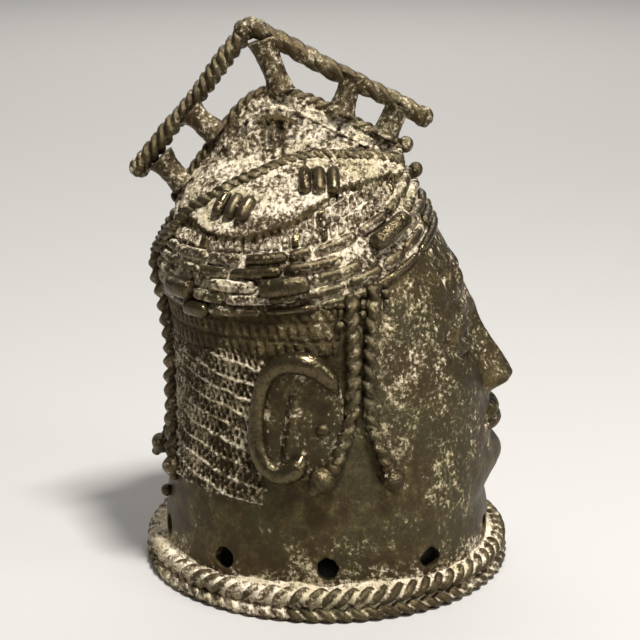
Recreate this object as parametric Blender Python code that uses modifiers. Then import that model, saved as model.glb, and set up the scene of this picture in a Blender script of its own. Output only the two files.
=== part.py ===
"""Brass head in a bead cap with a gabled crest: one hollow lost-wax casting, open below.

Metres, +Z up. The face looks along -Y, and the origin is the middle of the base ring, on the
ground. The free forms are shares of HEAD_HEIGHT, FACE_THIRD or a piece's own length. Walls,
ropes, rings and holes have sizes of their own. A path is a list of (y, z) points. Over the skin,
its distance from the middle plane is read from the head's own section.
"""
import math

import bmesh
import bpy
import numpy as np
from mathutils import Matrix

TAU = 2.0 * math.pi

# Head and wall
HEAD_HEIGHT = 0.243
COLLAR_RADIUS = 0.097
WALL = 0.005
CROWN_WALL = 0.008

# Height, front, back and half width of the head above the collar, in shares of HEAD_HEIGHT
HEAD_SHARES = (
    (0.247, -0.400, 0.385, 0.386),
    (0.350, -0.390, 0.367, 0.370),
    (0.453, -0.374, 0.361, 0.353),
    (0.556, -0.355, 0.363, 0.341),
    (0.658, -0.330, 0.376, 0.330),
    (0.741, -0.300, 0.391, 0.315),
    (0.823, -0.261, 0.373, 0.282),
    (0.885, -0.230, 0.338, 0.228),
    (0.947, -0.192, 0.288, 0.155),
    (0.984, -0.160, 0.240, 0.092),
    (1.000, -0.120, 0.190, 0.045),
)
COLLAR_SHARE = 0.12
SQUARENESS = 0.93

# Face, in thirds from the chin to the hairline
CHIN_HEIGHT = 0.058
FACE_THIRD = 0.0485

# Base
GROUND_ROPE = 0.0045
GROUND_ROPE_RING = 0.1060
EDGE_ROPE = 0.0055
EDGE_ROPE_RING = 0.1035
ROPE_SINK = 0.0006
LEDGE_RISE = 0.0085
BASE_LOBE = 0.0089
HOLE_COUNT = 10
HOLE_RADIUS = 0.0062
HOLE_HEIGHT = 0.0275

# Cap: how far its rim is below the skull's top, and the rows of beads above the rim
RIM_DROP = 0.077
RIM_FRONT_RISE = 0.040
RIM_BACK_RISE = 0.004
BEAD_ROWS = 5
BEAD_RADIUS = 0.0036
BEAD_PITCH = 0.0068
ACCENT_RADIUS = 0.0054
ACCENT_LENGTH = 0.028
ACCENTS = ((38.0, 3), (101.0, 2), (150.0, 1))
BUNDLE_SHARES = (
    ((0.0144, 0.9239), (0.0165, 0.9815)),
    ((0.2263, 0.8724), (0.1893, 0.9300)),
)
BUNDLE_TUBES = 3
BUNDLE_RADIUS = 0.0026

# Crown ropes, which meet behind. Paths are (y, z) in shares of HEAD_HEIGHT
CROWN_SHARES = (
    (-0.1667, 0.9774), (-0.1111, 0.9897), (-0.0523, 0.9926), (0.0630, 0.9897), (0.1551, 0.9650),
    (0.2469, 0.9218), (0.3169, 0.8724), (0.3613, 0.8189), (0.3971, 0.7613),
)
CROWN_ROPE = 0.0040
CROWN_LOBE = 0.0062

# Braids down the nape, on the right and the left, which part above their bells. Paths are (x, z)
NAPE_ROPE = 0.0058
NAPE_LOBE = 0.0095
RIGHT_NAPE_SHARES = (
    (0.0267, 0.7819), (0.0267, 0.6996), (0.0412, 0.5185), (0.0465, 0.4733), (0.0720, 0.3960),
    (0.0988, 0.3480), (0.1255, 0.3045),
)
LEFT_NAPE_SHARES = (
    (0.0267, 0.7819), (0.0267, 0.6996), (0.0432, 0.4938), (0.0432, 0.3909), (0.0432, 0.2881),
)

# Crest: the path of its edge, the gable's ends and apex, and each post's foot and top
CREST_SHARES = (
    (-0.1770, 1.0165), (-0.0988, 1.0576), (-0.0082, 1.1049), (0.0823, 1.1407), (0.1235, 1.1502),
    (0.1605, 1.1420), (0.2140, 1.0967), (0.2749, 1.0165), (0.3235, 0.9506), (0.3621, 0.8909),
)
CREST_THICKNESS = 0.0080
CREST_ROPE = 0.0045
CREST_LOBE = 0.0068
GABLE_BACK_SHARES = (0.4477, 0.9650)
GABLE_APEX_SHARES = (0.1790, 1.3016)
GABLE_FRONT_SHARES = (-0.2325, 1.0872)
GABLE_ROPE = 0.0058
STRUT_RADIUS = 0.0062
STRUT_SHARES = (
    ((0.3416, 0.9300), (0.3971, 0.9918)),
    ((0.2593, 1.0494), (0.3230, 1.1029)),
    ((0.1070, 1.1481), (0.1523, 1.2716)),
    ((-0.0329, 1.0988), (-0.0617, 1.1934)),
    ((-0.1358, 1.0453), (-0.1687, 1.1193)),
)
GATE_TOP_SHARES = (0.1235, 1.0947)
GATE_HEIGHT = 0.020
GATE_WIDTH = 0.028
GATE_BAR = 0.0030
GATE_RISE = 0.0022
FRONT_KNOB = 0.0050
KNOB_SHARES = ((-0.1811, 1.0247), (-0.2058, 0.9630))

# Plaits at the temples
REAR_PLAIT_SHARES = (
    (-0.0494, 0.7407), (-0.0547, 0.6420), (-0.0572, 0.5514), (-0.0551, 0.4840), (-0.0395, 0.4169),
    (-0.0165, 0.3539),
)
FORE_PLAIT_SHARES = (
    (-0.1008, 0.7613), (-0.0975, 0.6391), (-0.0938, 0.5498), (-0.0979, 0.4588), (-0.1140, 0.4012),
    (-0.1337, 0.3519),
)
PLAIT_RADIUS = 0.0046
PLAIT_LOBE = 0.0086

# Bells: the radius of one, how much larger the rear plait's is, and their outline from the neck
# down as (distance, radius) in shares of that radius
BELL_RADIUS = 0.0068
REAR_BELL = 1.2
BELL_OUTLINE = (
    (0.0, 0.42), (0.31, 0.42), (0.74, 0.84), (1.06, 1.0), (1.38, 0.98), (1.66, 0.82), (1.89, 0.58), (2.23, 0.40),
    (2.48, 0.15),
)

# Ears: the rim's path, its radius and the share of it at each point, then the plate and its ridge
EAR_SHARES = (
    (-0.0235, 0.5193), (-0.0033, 0.5531), (0.0214, 0.5782), (0.0572, 0.5909), (0.0930, 0.5877),
    (0.1247, 0.5646), (0.1428, 0.5267), (0.1523, 0.4798), (0.1547, 0.4292), (0.1502, 0.3840),
    (0.1346, 0.3498), (0.1074, 0.3342), (0.0802, 0.3383), (0.0621, 0.3580), (0.0527, 0.3807),
)
EAR_RIM = 0.0046
EAR_RIM_SHARES = (0.57, 0.96, 1.13, 1.22, 1.13, 0.98, 0.87, 0.83, 0.78, 0.8, 0.91, 1.0, 1.09, 1.26, 1.09)
EAR_CENTRE_SHARES = (0.0617, 0.4609)
EAR_PLATE = 0.0034
EAR_HALF_WIDTH = 0.0226
EAR_HALF_HEIGHT = 0.0335
EAR_RIDGE = 0.0024
EAR_RIDGE_SHARES = (
    (0.0889, 0.3765), (0.0844, 0.4045), (0.0778, 0.4617), (0.0683, 0.5165),
)
TRAGUS_SHARES = (0.0103, 0.4374)
TRAGUS = 0.0040

# Fineness of the wax before it is cast as one skin, and of the skin
VOXEL = 0.0013
TRIANGLES = 7800


def clear_scene():
    """Removes whatever the file held."""
    for obj in list(bpy.data.objects):
        bpy.data.objects.remove(obj, do_unlink=True)


def new_collection(name):
    """A collection of that name in the scene."""
    made = bpy.data.collections.new(name)
    bpy.context.scene.collection.children.link(made)
    return made


def smooth_curve(at, known, values):
    """Cubic through (known, values), with the slope at each point taken from its neighbours."""
    known, values = np.asarray(known, float), np.asarray(values, float)
    slopes = np.gradient(values, known)
    at = np.clip(at, known[0], known[-1])
    i = np.clip(np.searchsorted(known, at, side="right") - 1, 0, len(known) - 2)
    gap = known[i + 1] - known[i]
    t = (at - known[i]) / gap
    rise = (
        values[i] * (1 + 2 * t) * (1 - t) ** 2
        + values[i + 1] * t * t * (3 - 2 * t)
        + gap * slopes[i] * t * (1 - t) ** 2
        - gap * slopes[i + 1] * t * t * (1 - t)
    )
    return rise


def bump(u, v=0.0):
    """A round hill of height one over (u, v) = (0, 0)."""
    return np.exp(-(u * u + v * v))


def head_section(z):
    """Front y, back y and half width of the plain head at height z."""
    collar = COLLAR_RADIUS / HEAD_HEIGHT
    rows = np.array([(0.0, -collar, collar, collar), (COLLAR_SHARE, -collar, collar, collar), *HEAD_SHARES])
    share = np.asarray(z, float) / HEAD_HEIGHT
    return [smooth_curve(share, rows[:, 0], rows[:, k]) * HEAD_HEIGHT for k in (1, 2, 3)]


def head_point(angle, z, inset=0.0):
    """Points of the plain head at an angle from the face, inset from its skin."""
    front, back, half_width = head_section(z)
    reach = (back - front) / 2 - inset
    sine, cosine = np.sin(angle), np.cos(angle)
    x = (half_width - inset) * np.sign(sine) * np.abs(sine) ** SQUARENESS
    y = (back + front) / 2 - reach * np.sign(cosine) * np.abs(cosine) ** SQUARENESS
    return np.stack([x, y, z + 0 * x], -1)


def sized(shares):
    """A path's points in metres, from shares of HEAD_HEIGHT."""
    return np.array(shares, float) * HEAD_HEIGHT


def on_skin(path, side, proud=0.0):
    """Points over the skin through (y, z) points, on the side -1 or 1, standing proud of it."""
    y, z = np.array(path, float).T
    front, back, half_width = head_section(z)
    cosine = np.clip(((back + front) / 2 - y) / ((back - front) / 2), -1, 1)
    cosine = np.sign(cosine) * np.abs(cosine) ** (1 / SQUARENESS)
    points = head_point(np.arccos(cosine), z, -proud)
    points[:, 0] *= side
    return points


def through(points, count):
    """Points along a smooth line through a few points, evenly spaced by length."""
    points = np.asarray(points, float)
    steps = np.r_[0, np.cumsum(np.linalg.norm(np.diff(points, axis=0), axis=1))]
    fine = np.linspace(0, steps[-1], 20 * len(points))
    line = np.stack([smooth_curve(fine, steps, points[:, k]) for k in range(points.shape[1])], -1)
    length = np.r_[0, np.cumsum(np.linalg.norm(np.diff(line, axis=0), axis=1))]
    at = np.linspace(0, length[-1], count)
    return np.stack([np.interp(at, length, line[:, k]) for k in range(line.shape[1])], -1)


def face_relief(x, z):
    """How far the face stands out of the plain head. u and v are in thirds of the face."""
    u, v = np.abs(x) / FACE_THIRD, (z - CHIN_HEIGHT) / FACE_THIRD
    return FACE_THIRD * (brow_and_eye(u, v) + nose(u, v) + mouth_and_chin(u, v))


def brow_and_eye(u, v):
    """An arched brow, a lidded eye in its socket, and three upright bosses on the forehead."""
    along = (u - 0.61) / 0.33
    arch = np.clip(1 - along**2, 0, 1)
    mask = 1 / (1 + np.exp((np.abs(along) - 1.04) / 0.06))
    upper, lower = 1.755 + 0.155 * arch, 1.755 - 0.115 * arch
    brow = 2.05 - 0.22 * (u - 0.50) ** 2
    ends = bump((u - 0.62) / 0.52)
    return (
        0.05 * bump(u / 0.9, (v - 2.45) / 0.5)
        + 0.09 * ends * bump((v - brow) / 0.10)
        - 0.19 * bump((u - 0.60) / 0.42, (v - 1.78) / 0.27)
        + 0.15 * np.sqrt(np.clip(1 - ((u - 0.61) / 0.36) ** 2 - ((v - 1.78) / 0.23) ** 2, 0, 1))
        + 0.060 * mask * bump((v - upper) / 0.045)
        + 0.045 * mask * bump((v - lower) / 0.040)
        + 0.09 * bump((u - 0.95) / 0.42, (v - 1.22) / 0.40)
        + sum(0.07 * bump((u - at) / 0.075, (v - 2.46) / 0.16) for at in (0.36, 0.64, 0.92))
    )


def nose(u, v):
    """A straight nose with a rounded tip, two wings and the groove below it."""
    line = smooth_curve(
        v,
        (0.90, 0.98, 1.04, 1.12, 1.20, 1.50, 1.80, 2.05, 2.35),
        (0.00, 0.10, 0.29, 0.385, 0.375, 0.26, 0.15, 0.07, 0.00),
    )
    width = np.interp(v, (0.95, 1.15, 1.35, 1.7, 2.0), (0.23, 0.235, 0.18, 0.14, 0.18))
    return (
        line * np.exp(-((u / width) ** 2.2))
        + 0.18 * bump((u - 0.26) / 0.12, (v - 1.09) / 0.11)
        - 0.06 * bump((u - 0.11) / 0.06, (v - 0.965) / 0.045)
        - 0.03 * bump(u / 0.055, (v - 0.87) / 0.07)
    )


def mouth_and_chin(u, v):
    """Closed full lips, a rounded chin, and the hollow between the chin and the collar."""
    taper = np.sqrt(np.clip(1 - (u / 0.53) ** 2, 0, 1))
    parting = 0.665 - 0.02 * (u / 0.5) ** 2
    above = (v - parting - 0.012 + 0.018 * bump(u / 0.08)) / (0.145 * taper + 0.01)
    below = (parting - 0.012 - v) / (0.165 * taper + 0.01)
    return (
        0.10 * bump(u / 0.72, (v - 0.68) / 0.42)
        + 0.115 * taper * lip(above)
        + 0.125 * taper * lip(below)
        - 0.045 * bump((u - 0.55) / 0.08, (v - 0.66) / 0.08)
        - 0.07 * bump(u / 0.42, (v - 0.40) / 0.09)
        + 0.15 * bump(u / 0.46, (v - 0.13) / 0.24)
        - 0.08 * bump(u / 1.1, (v + 0.24) / 0.15)
    )


def lip(share):
    """A lip's fullness from the parting, share 0, to its edge, share 1."""
    share = np.clip(share, 0, 1)
    return (4 * share * (1 - share)) ** 0.5 * (1 - 0.35 * share)


def loft(name, rings, folder):
    """A closed mesh through rings of as many points each, with a face over its first and last ring."""
    rings = np.asarray(rings, float)
    levels, count = rings.shape[:2]
    mesh = bmesh.new()
    made = [[mesh.verts.new(point) for point in ring] for ring in rings]
    for low, high in zip(made, made[1:]):
        for i in range(count):
            j = (i + 1) % count
            mesh.faces.new((low[i], low[j], high[j], high[i]))
    mesh.faces.new(reversed(made[0]))
    mesh.faces.new(made[-1])
    bmesh.ops.recalc_face_normals(mesh, faces=mesh.faces)
    return add_mesh(name, mesh, folder)


def add_mesh(name, mesh, folder):
    """The bmesh as a new object."""
    data = bpy.data.meshes.new(name)
    mesh.to_mesh(data)
    mesh.free()
    obj = bpy.data.objects.new(name, data)
    folder.objects.link(obj)
    return obj


def ball(name, centre, sizes, folder):
    """A UV sphere at centre, with its three half sizes."""
    mesh = bmesh.new()
    bmesh.ops.create_uvsphere(mesh, u_segments=20, v_segments=12, radius=1.0)
    bmesh.ops.scale(mesh, vec=sizes, verts=mesh.verts)
    bmesh.ops.translate(mesh, vec=centre, verts=mesh.verts)
    return add_mesh(name, mesh, folder)


def block(name, centre, sizes, folder):
    """A box at centre, with its three full sizes."""
    mesh = bmesh.new()
    bmesh.ops.create_cube(mesh, size=1.0)
    bmesh.ops.scale(mesh, vec=sizes, verts=mesh.verts)
    bmesh.ops.translate(mesh, vec=centre, verts=mesh.verts)
    return add_mesh(name, mesh, folder)


def rope_profile(radius, folder):
    """The outline of three strands laid together, as a guide that a curve is bevelled with."""
    data = bpy.data.curves.new("rope_profile", "CURVE")
    spline = data.splines.new("POLY")
    angles = np.linspace(0, TAU, 18, endpoint=False)
    reach = radius * (0.87 + 0.17 * np.cos(3 * angles))
    spline.points.add(len(angles) - 1)
    for point, angle, r in zip(spline.points, angles, reach):
        point.co = (r * math.cos(angle), r * math.sin(angle), 0, 1)
    spline.use_cyclic_u = True
    guide = bpy.data.objects.new("rope_profile", data)
    guide.hide_render = True
    folder.objects.link(guide)
    return guide


def tube(name, points, radius, folder, cyclic=False, shares=None, twist=0.0):
    """A round tube along points, or a rope where twist gives its turn in radians at each point."""
    data = bpy.data.curves.new(name, "CURVE")
    data.dimensions = "3D"
    data.use_fill_caps = True
    if twist:
        data.bevel_mode = "OBJECT"
        data.bevel_object = rope_profile(radius, folder)
    else:
        data.bevel_depth = radius
        data.bevel_resolution = 2
    spline = data.splines.new("POLY")
    spline.points.add(len(points) - 1)
    for i, (point, place) in enumerate(zip(spline.points, points)):
        point.co = (*place, 1)
        point.tilt = i * twist
        point.radius = 1.0 if shares is None else shares[i]
    spline.use_cyclic_u = cyclic
    curve = bpy.data.objects.new(name, data)
    folder.objects.link(curve)
    return as_mesh(curve, folder)


def as_mesh(curve, folder):
    """The curve's solid as a mesh object with its caps welded. The curve is removed."""
    name = curve.name
    bpy.context.view_layer.update()
    graph = bpy.context.evaluated_depsgraph_get()
    data = bpy.data.meshes.new_from_object(curve.evaluated_get(graph))
    guide = curve.data.bevel_object
    bpy.data.objects.remove(curve)
    if guide:
        bpy.data.objects.remove(guide)
    mesh = bmesh.new()
    mesh.from_mesh(data)
    bpy.data.meshes.remove(data)
    bmesh.ops.remove_doubles(mesh, verts=mesh.verts, dist=1e-5)
    bmesh.ops.recalc_face_normals(mesh, faces=mesh.faces)
    return add_mesh(name, mesh, folder)


def rope(name, points, radius, lobe, folder, hand=1):
    """A three-strand rope through points. lobe is the distance from strand to strand along it."""
    points = np.asarray(points, float)
    length = np.linalg.norm(np.diff(points, axis=0), axis=1).sum()
    count = max(8, round(4 * length / lobe))
    return tube(name, through(points, count), radius, folder, twist=hand * TAU / 12)


def rope_ring(name, ring_radius, height, radius, lobe, folder, hand):
    """A three-strand rope laid round in a ring, with a whole number of turns."""
    turns = round(TAU * ring_radius / (3 * lobe))
    angles = np.linspace(0, TAU, 12 * turns, endpoint=False)
    points = np.stack([ring_radius * np.cos(angles), ring_radius * np.sin(angles), height + 0 * angles], -1)
    return tube(name, points, radius, folder, cyclic=True, twist=hand * TAU / 12)


def turned(name, profile, folder):
    """A solid ring from a closed (radius, height) outline that runs down its outer side."""
    mesh = bmesh.new()
    corners = [mesh.verts.new((radius, 0, height)) for radius, height in profile]
    for a, b in zip(corners, corners[1:] + corners[:1]):
        mesh.edges.new((a, b))
    obj = add_mesh(name, mesh, folder)
    screw = obj.modifiers.new("turn", "SCREW")
    screw.steps = screw.render_steps = 96
    screw.use_merge_vertices = True
    screw.merge_threshold = 0.00005
    return obj


def edge_height():
    """Height of the edge rope's centre: it lies in the groove over the ground rope."""
    return 2 * GROUND_ROPE + EDGE_ROPE - 2 * ROPE_SINK


def make_base(folder):
    """The flange: a sloping ledge that carries two ropes, one on the other. It is filed off flat."""
    top = edge_height() + EDGE_ROPE * 0.4
    inner = COLLAR_RADIUS - WALL
    profile = (
        (inner, top + LEDGE_RISE), (COLLAR_RADIUS, top + LEDGE_RISE), (EDGE_ROPE_RING, top),
        (EDGE_ROPE_RING, edge_height()), (GROUND_ROPE_RING, GROUND_ROPE), (GROUND_ROPE_RING, -WALL), (inner, -WALL),
    )
    turned("ledge", profile, folder)
    rope_ring("ground_rope", GROUND_ROPE_RING, GROUND_ROPE - ROPE_SINK, GROUND_ROPE, BASE_LOBE, folder, -1)
    rope_ring("edge_rope", EDGE_ROPE_RING, edge_height(), EDGE_ROPE, BASE_LOBE, folder, 1)


def make_head(folder):
    """The collar, jaw, face and skull as one loft, with the face standing out of it."""
    turn = np.linspace(0, TAU, 260, endpoint=False)
    angles = turn - 0.55 * np.sin(turn)
    rings = []
    for z in np.r_[-WALL, np.linspace(0, HEAD_HEIGHT, 180)]:
        ring = head_point(angles, max(z, 0))
        ring[:, 2] = z
        facing = np.clip(np.cos(angles), 0, 1) ** 0.5
        ring[:, 1] -= facing * face_relief(ring[:, 0], z)
        rings.append(ring)
    loft("skull", rings, folder)


def rim_height(angle):
    """Height of the cap's rim, low at the sides and high over the face."""
    facing = np.cos(angle / 2) ** 2
    return HEAD_HEIGHT - RIM_DROP + RIM_FRONT_RISE * facing**2.6 + RIM_BACK_RISE * (1 - facing) ** 3


def row_points(angle, row, proud=0.0):
    """Points of one bead row over the cap."""
    return head_point(angle, rim_height(angle) + row * BEAD_PITCH, -proud)


def make_cap(folder):
    """Rows of beads round the cap, the long beads that stand out of them, and the bundles."""
    angles = np.linspace(0, TAU, 120, endpoint=False)
    for row in range(BEAD_ROWS):
        tube(f"bead_row_{row}", row_points(angles, row), BEAD_RADIUS, folder, cyclic=True)
    for degrees, row in ACCENTS:
        half = ACCENT_LENGTH / (2 * COLLAR_RADIUS)
        for side in (-1, 1):
            angle = side * math.radians(degrees) + np.linspace(-half, half, 7)
            points = row_points(angle, row, BEAD_RADIUS)
            tube(f"long_bead_{row}", points, ACCENT_RADIUS, folder, shares=(0.6, 0.95, 1, 1, 1, 0.95, 0.6))
    for low, high in sized(BUNDLE_SHARES):
        for side in (-1, 1):
            ends = on_skin((low, high), side, BUNDLE_RADIUS * 0.5)
            line = ends[0] + np.linspace(0, 1, 5)[:, None] * (ends[1] - ends[0])
            across = np.cross(ends[1] - ends[0], (side, 0, 0.8))
            across *= 2 * BUNDLE_RADIUS / np.linalg.norm(across)
            for i in range(BUNDLE_TUBES):
                shift = (i - (BUNDLE_TUBES - 1) / 2) * across
                tube("bundle", line + shift, BUNDLE_RADIUS, folder, shares=(0.7, 1, 1, 1, 0.7))


def crown_line(side):
    """The crown rope's line on one side, from the brow to the nape."""
    return through(on_skin(sized(CROWN_SHARES), side, CROWN_ROPE * 0.3), 40)


def nape_line(side):
    """The nape braid's line on one side, from under the crown rope down to its bell."""
    x, z = sized(LEFT_NAPE_SHARES if side > 0 else RIGHT_NAPE_SHARES).T
    front, back, half_width = head_section(z)
    y = (back + front) / 2 + (back - front) / 2 * np.sqrt(1 - (x / half_width) ** 2)
    return np.stack([side * x, y + NAPE_ROPE * 0.45, z], -1)


def make_bell(name, end, lean, radius, folder):
    """A bell that hangs from a braid's end and leans along a direction: a turned drop with a tip."""
    along, shares = np.array(BELL_OUTLINE).T
    direction = np.array(lean, float) / np.linalg.norm(lean)
    tube(name, end + np.outer(along * radius, direction), radius, folder, shares=shares)


def make_ropes(folder):
    """The crown ropes, the nape braids and the temple plaits. Each braid ends in a bell."""
    for side in (-1, 1):
        rope("crown_rope", crown_line(side), CROWN_ROPE, CROWN_LOBE, folder, side)
        line = nape_line(side)
        rope("nape_braid", line, NAPE_ROPE, NAPE_LOBE, folder, side)
        make_bell("nape_bell", line[-1], (0.05, 0.62, -0.9) if side > 0 else (-0.25, -0.05, -1.0), BELL_RADIUS, folder)
        for shares, hand, lean, radius in (
            (REAR_PLAIT_SHARES, side, (side * 0.30, 0.95, -1.0), BELL_RADIUS * REAR_BELL),
            (FORE_PLAIT_SHARES, -side, (side * 0.25, -0.42, -1.0), BELL_RADIUS),
        ):
            line = on_skin(sized(shares), side, PLAIT_RADIUS * 0.55)
            rope("plait", line, PLAIT_RADIUS, PLAIT_LOBE, folder, hand)
            make_bell("plait_bell", line[-1], lean, radius, folder)


def make_ears(folder):
    """Each ear: a rim like a letter C that curls into a lobe, round a plate with a ridge."""
    rim_shares = np.array(EAR_RIM_SHARES)
    for side in (-1, 1):
        rim = on_skin(sized(EAR_SHARES), side, EAR_RIM * (0.45 * rim_shares + 0.45))
        tube("ear_rim", rim, EAR_RIM, folder, shares=rim_shares)
        tube("ear_ridge", on_skin(sized(EAR_RIDGE_SHARES), side, EAR_PLATE * 0.6), EAR_RIDGE, folder)
        middle = on_skin(sized([EAR_CENTRE_SHARES]), side)[0]
        ball("ear_plate", middle, (EAR_PLATE, EAR_HALF_WIDTH, EAR_HALF_HEIGHT), folder)
        ball("tragus", on_skin(sized([TRAGUS_SHARES]), side, EAR_PLATE * 0.7)[0], [TRAGUS] * 3, folder)


def crest_top(y):
    """Height of the panel's upper edge at y."""
    return smooth_curve(y, *sized(CREST_SHARES).T)


def gate_relief(y, z):
    """How far the gate stands out of the panel: a lintel over two posts."""
    middle, top = sized(GATE_TOP_SHARES)
    soft = 0.14 * GATE_BAR
    in_width = 1 / (1 + np.exp((np.abs(y - middle) - GATE_WIDTH / 2) / soft))
    in_height = 1 / (1 + np.exp((np.abs(z - top + GATE_HEIGHT / 2) - GATE_HEIGHT / 2) / soft))
    lintel = in_width * bump((z - top) / GATE_BAR)
    posts = sum(bump((y - middle - at * GATE_WIDTH) / (0.7 * GATE_BAR)) for at in (-0.25, 0.12))
    return GATE_RISE * np.maximum(lintel, in_height * np.minimum(posts, 1))


def make_crest(folder):
    """The panel over the crown, spreading to the crown ropes, with its rope and knobs."""
    base = on_skin(sized(CROWN_SHARES), 1)
    base = base[np.argsort(base[:, 1])]
    first, last = sized(CREST_SHARES)[[0, -1], 0]
    half_top = CREST_THICKNESS / 2
    down = np.linspace(0, 1, 60)
    rings = []
    for y in np.linspace(first, last, 110):
        foot = max(np.interp(y, base[:, 1], base[:, 0]), half_top)
        low, high = np.interp(y, base[:, 1], base[:, 2]), crest_top(y)
        z = high + (low - high) * down
        x = half_top + (foot - half_top) * down**1.5 + gate_relief(y, z)
        right = np.stack([x, y + 0 * x, z], -1)
        under = np.array([[0, y, low - CREST_THICKNESS]])
        rings.append(np.concatenate([right, under, right[::-1] * (-1, 1, 1)]))
    loft("crest_panel", rings, folder)
    y = np.linspace(first, last, 24)
    rope("crest_rope", np.stack([0 * y, y, crest_top(y)], -1), CREST_ROPE, CREST_LOBE, folder)
    for place in sized(KNOB_SHARES):
        ball("front_knob", (0, *place), [FRONT_KNOB] * 3, folder)


def make_gable(folder):
    """The gable of two ropes, each ending in a coil, on five posts that stand on the crest rope."""
    apex = sized(GABLE_APEX_SHARES)
    for end, hand in ((sized(GABLE_BACK_SHARES), 1), (sized(GABLE_FRONT_SHARES), -1)):
        line = np.array([(0, *end), (0, *apex)])
        middle = line.mean(0)
        rope("gable_rope", (line[0], middle, line[1]), GABLE_ROPE, CREST_LOBE, folder, hand)
        ball("gable_end", line[0], [GABLE_ROPE * 1.1] * 3, folder)
    ball("gable_apex", (0, *apex), (GABLE_ROPE, GABLE_ROPE * 1.4, GABLE_ROPE), folder)
    for foot, top in sized(STRUT_SHARES):
        low, high = np.array((0, *foot)), np.array((0, *top))
        line = low + np.linspace(0, 1, 7)[:, None] * (high - low)
        tube("strut", line, STRUT_RADIUS, folder, shares=(1.4, 1.1, 0.95, 0.9, 0.95, 1.1, 1.3))


def make_core(folder):
    """The clay core, plainer than the skin and a wall's thickness inside it."""
    angles = np.linspace(0, TAU, 32, endpoint=False)
    shrink = HEAD_HEIGHT / (HEAD_HEIGHT - CROWN_WALL)
    heights = np.r_[-2 * WALL, np.linspace(0.05, 0.96, 13) * HEAD_HEIGHT / shrink]
    rings = []
    for z in heights:
        ring = head_point(angles, np.clip(z * shrink, 0, HEAD_HEIGHT), WALL)
        ring[:, 2] = z
        rings.append(ring)
    return loft("core", rings, folder)


def make_holes(folder):
    """Pegs that leave the row of holes above the ledge."""
    mesh = bmesh.new()
    depth = 8 * WALL
    for i in range(HOLE_COUNT):
        made = bmesh.ops.create_cone(
            mesh, cap_ends=True, segments=12, radius1=HOLE_RADIUS, radius2=HOLE_RADIUS, depth=depth
        )
        verts = made["verts"]
        bmesh.ops.rotate(mesh, verts=verts, cent=(0, 0, 0), matrix=rotation("Y", TAU / 4))
        bmesh.ops.translate(mesh, verts=verts, vec=(COLLAR_RADIUS, 0, HOLE_HEIGHT))
        bmesh.ops.rotate(mesh, verts=verts, cent=(0, 0, 0), matrix=rotation("Z", i * TAU / HOLE_COUNT))
    return add_mesh("hole_pegs", mesh, folder)


def rotation(axis, angle):
    """A three by three rotation about an axis."""
    return Matrix.Rotation(angle, 3, axis)


def make_ground(folder):
    """What is filed off below the base, so that it stands flat."""
    size = 6 * COLLAR_RADIUS
    return block("ground_cut", (0, 0, -size / 2), (size, size, size), folder)


def joined(name, pieces, folder):
    """One object that holds every piece of the wax, with their modifiers applied."""
    graph = bpy.context.evaluated_depsgraph_get()
    mesh = bmesh.new()
    for piece in pieces:
        data = bpy.data.meshes.new_from_object(piece.evaluated_get(graph))
        mesh.from_mesh(data)
        bpy.data.meshes.remove(data)
        bpy.data.objects.remove(piece)
    bmesh.ops.recalc_face_normals(mesh, faces=mesh.faces)
    return add_mesh(name, mesh, folder)


def cast(wax, cutters):
    """Fuses the wax into one skin, thins it to TRIANGLES and cuts out the cutters."""
    fuse = wax.modifiers.new("fuse", "REMESH")
    fuse.mode = "VOXEL"
    fuse.voxel_size = VOXEL
    fuse.use_smooth_shade = True
    bpy.context.view_layer.update()
    graph = bpy.context.evaluated_depsgraph_get()
    data = wax.evaluated_get(graph).to_mesh()
    data.calc_loop_triangles()
    count = len(data.loop_triangles)
    wax.evaluated_get(graph).to_mesh_clear()
    thin = wax.modifiers.new("thin", "DECIMATE")
    thin.ratio = min(1.0, TRIANGLES / count)
    for cutter in cutters:
        cutter.hide_render = True
        cutter.display_type = "WIRE"
        cut = wax.modifiers.new(cutter.name, "BOOLEAN")
        cut.operation = "DIFFERENCE"
        cut.solver = "EXACT"
        cut.object = cutter


def brass():
    """Old brass: dark olive brown with a little shine."""
    material = bpy.data.materials.new("old_brass")
    material.use_nodes = True
    shader = material.node_tree.nodes["Principled BSDF"]
    shader.inputs["Base Color"].default_value = (0.16, 0.125, 0.065, 1)
    shader.inputs["Metallic"].default_value = 0.85
    shader.inputs["Roughness"].default_value = 0.48
    return material


def main():
    """Models the wax, and casts it."""
    clear_scene()
    cast_head = new_collection("brass_head")
    tools = new_collection("cutters")
    make_base(cast_head)
    make_head(cast_head)
    make_cap(cast_head)
    make_ropes(cast_head)
    make_ears(cast_head)
    make_crest(cast_head)
    make_gable(cast_head)
    bpy.context.view_layer.update()
    head = joined("brass_head", list(cast_head.objects), cast_head)
    cast(head, (make_ground(tools), make_core(tools), make_holes(tools)))
    head.data.materials.append(brass())


main()
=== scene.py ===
"""Looks of the brass head: a hollow lost-wax casting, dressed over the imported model.

Every surface is worked out with numpy as a grid of points, in metres, +Z up, the face along -Y.
The casting is one piece of metal, so what stands on the skin is sunk into it.
"""

import math

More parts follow.
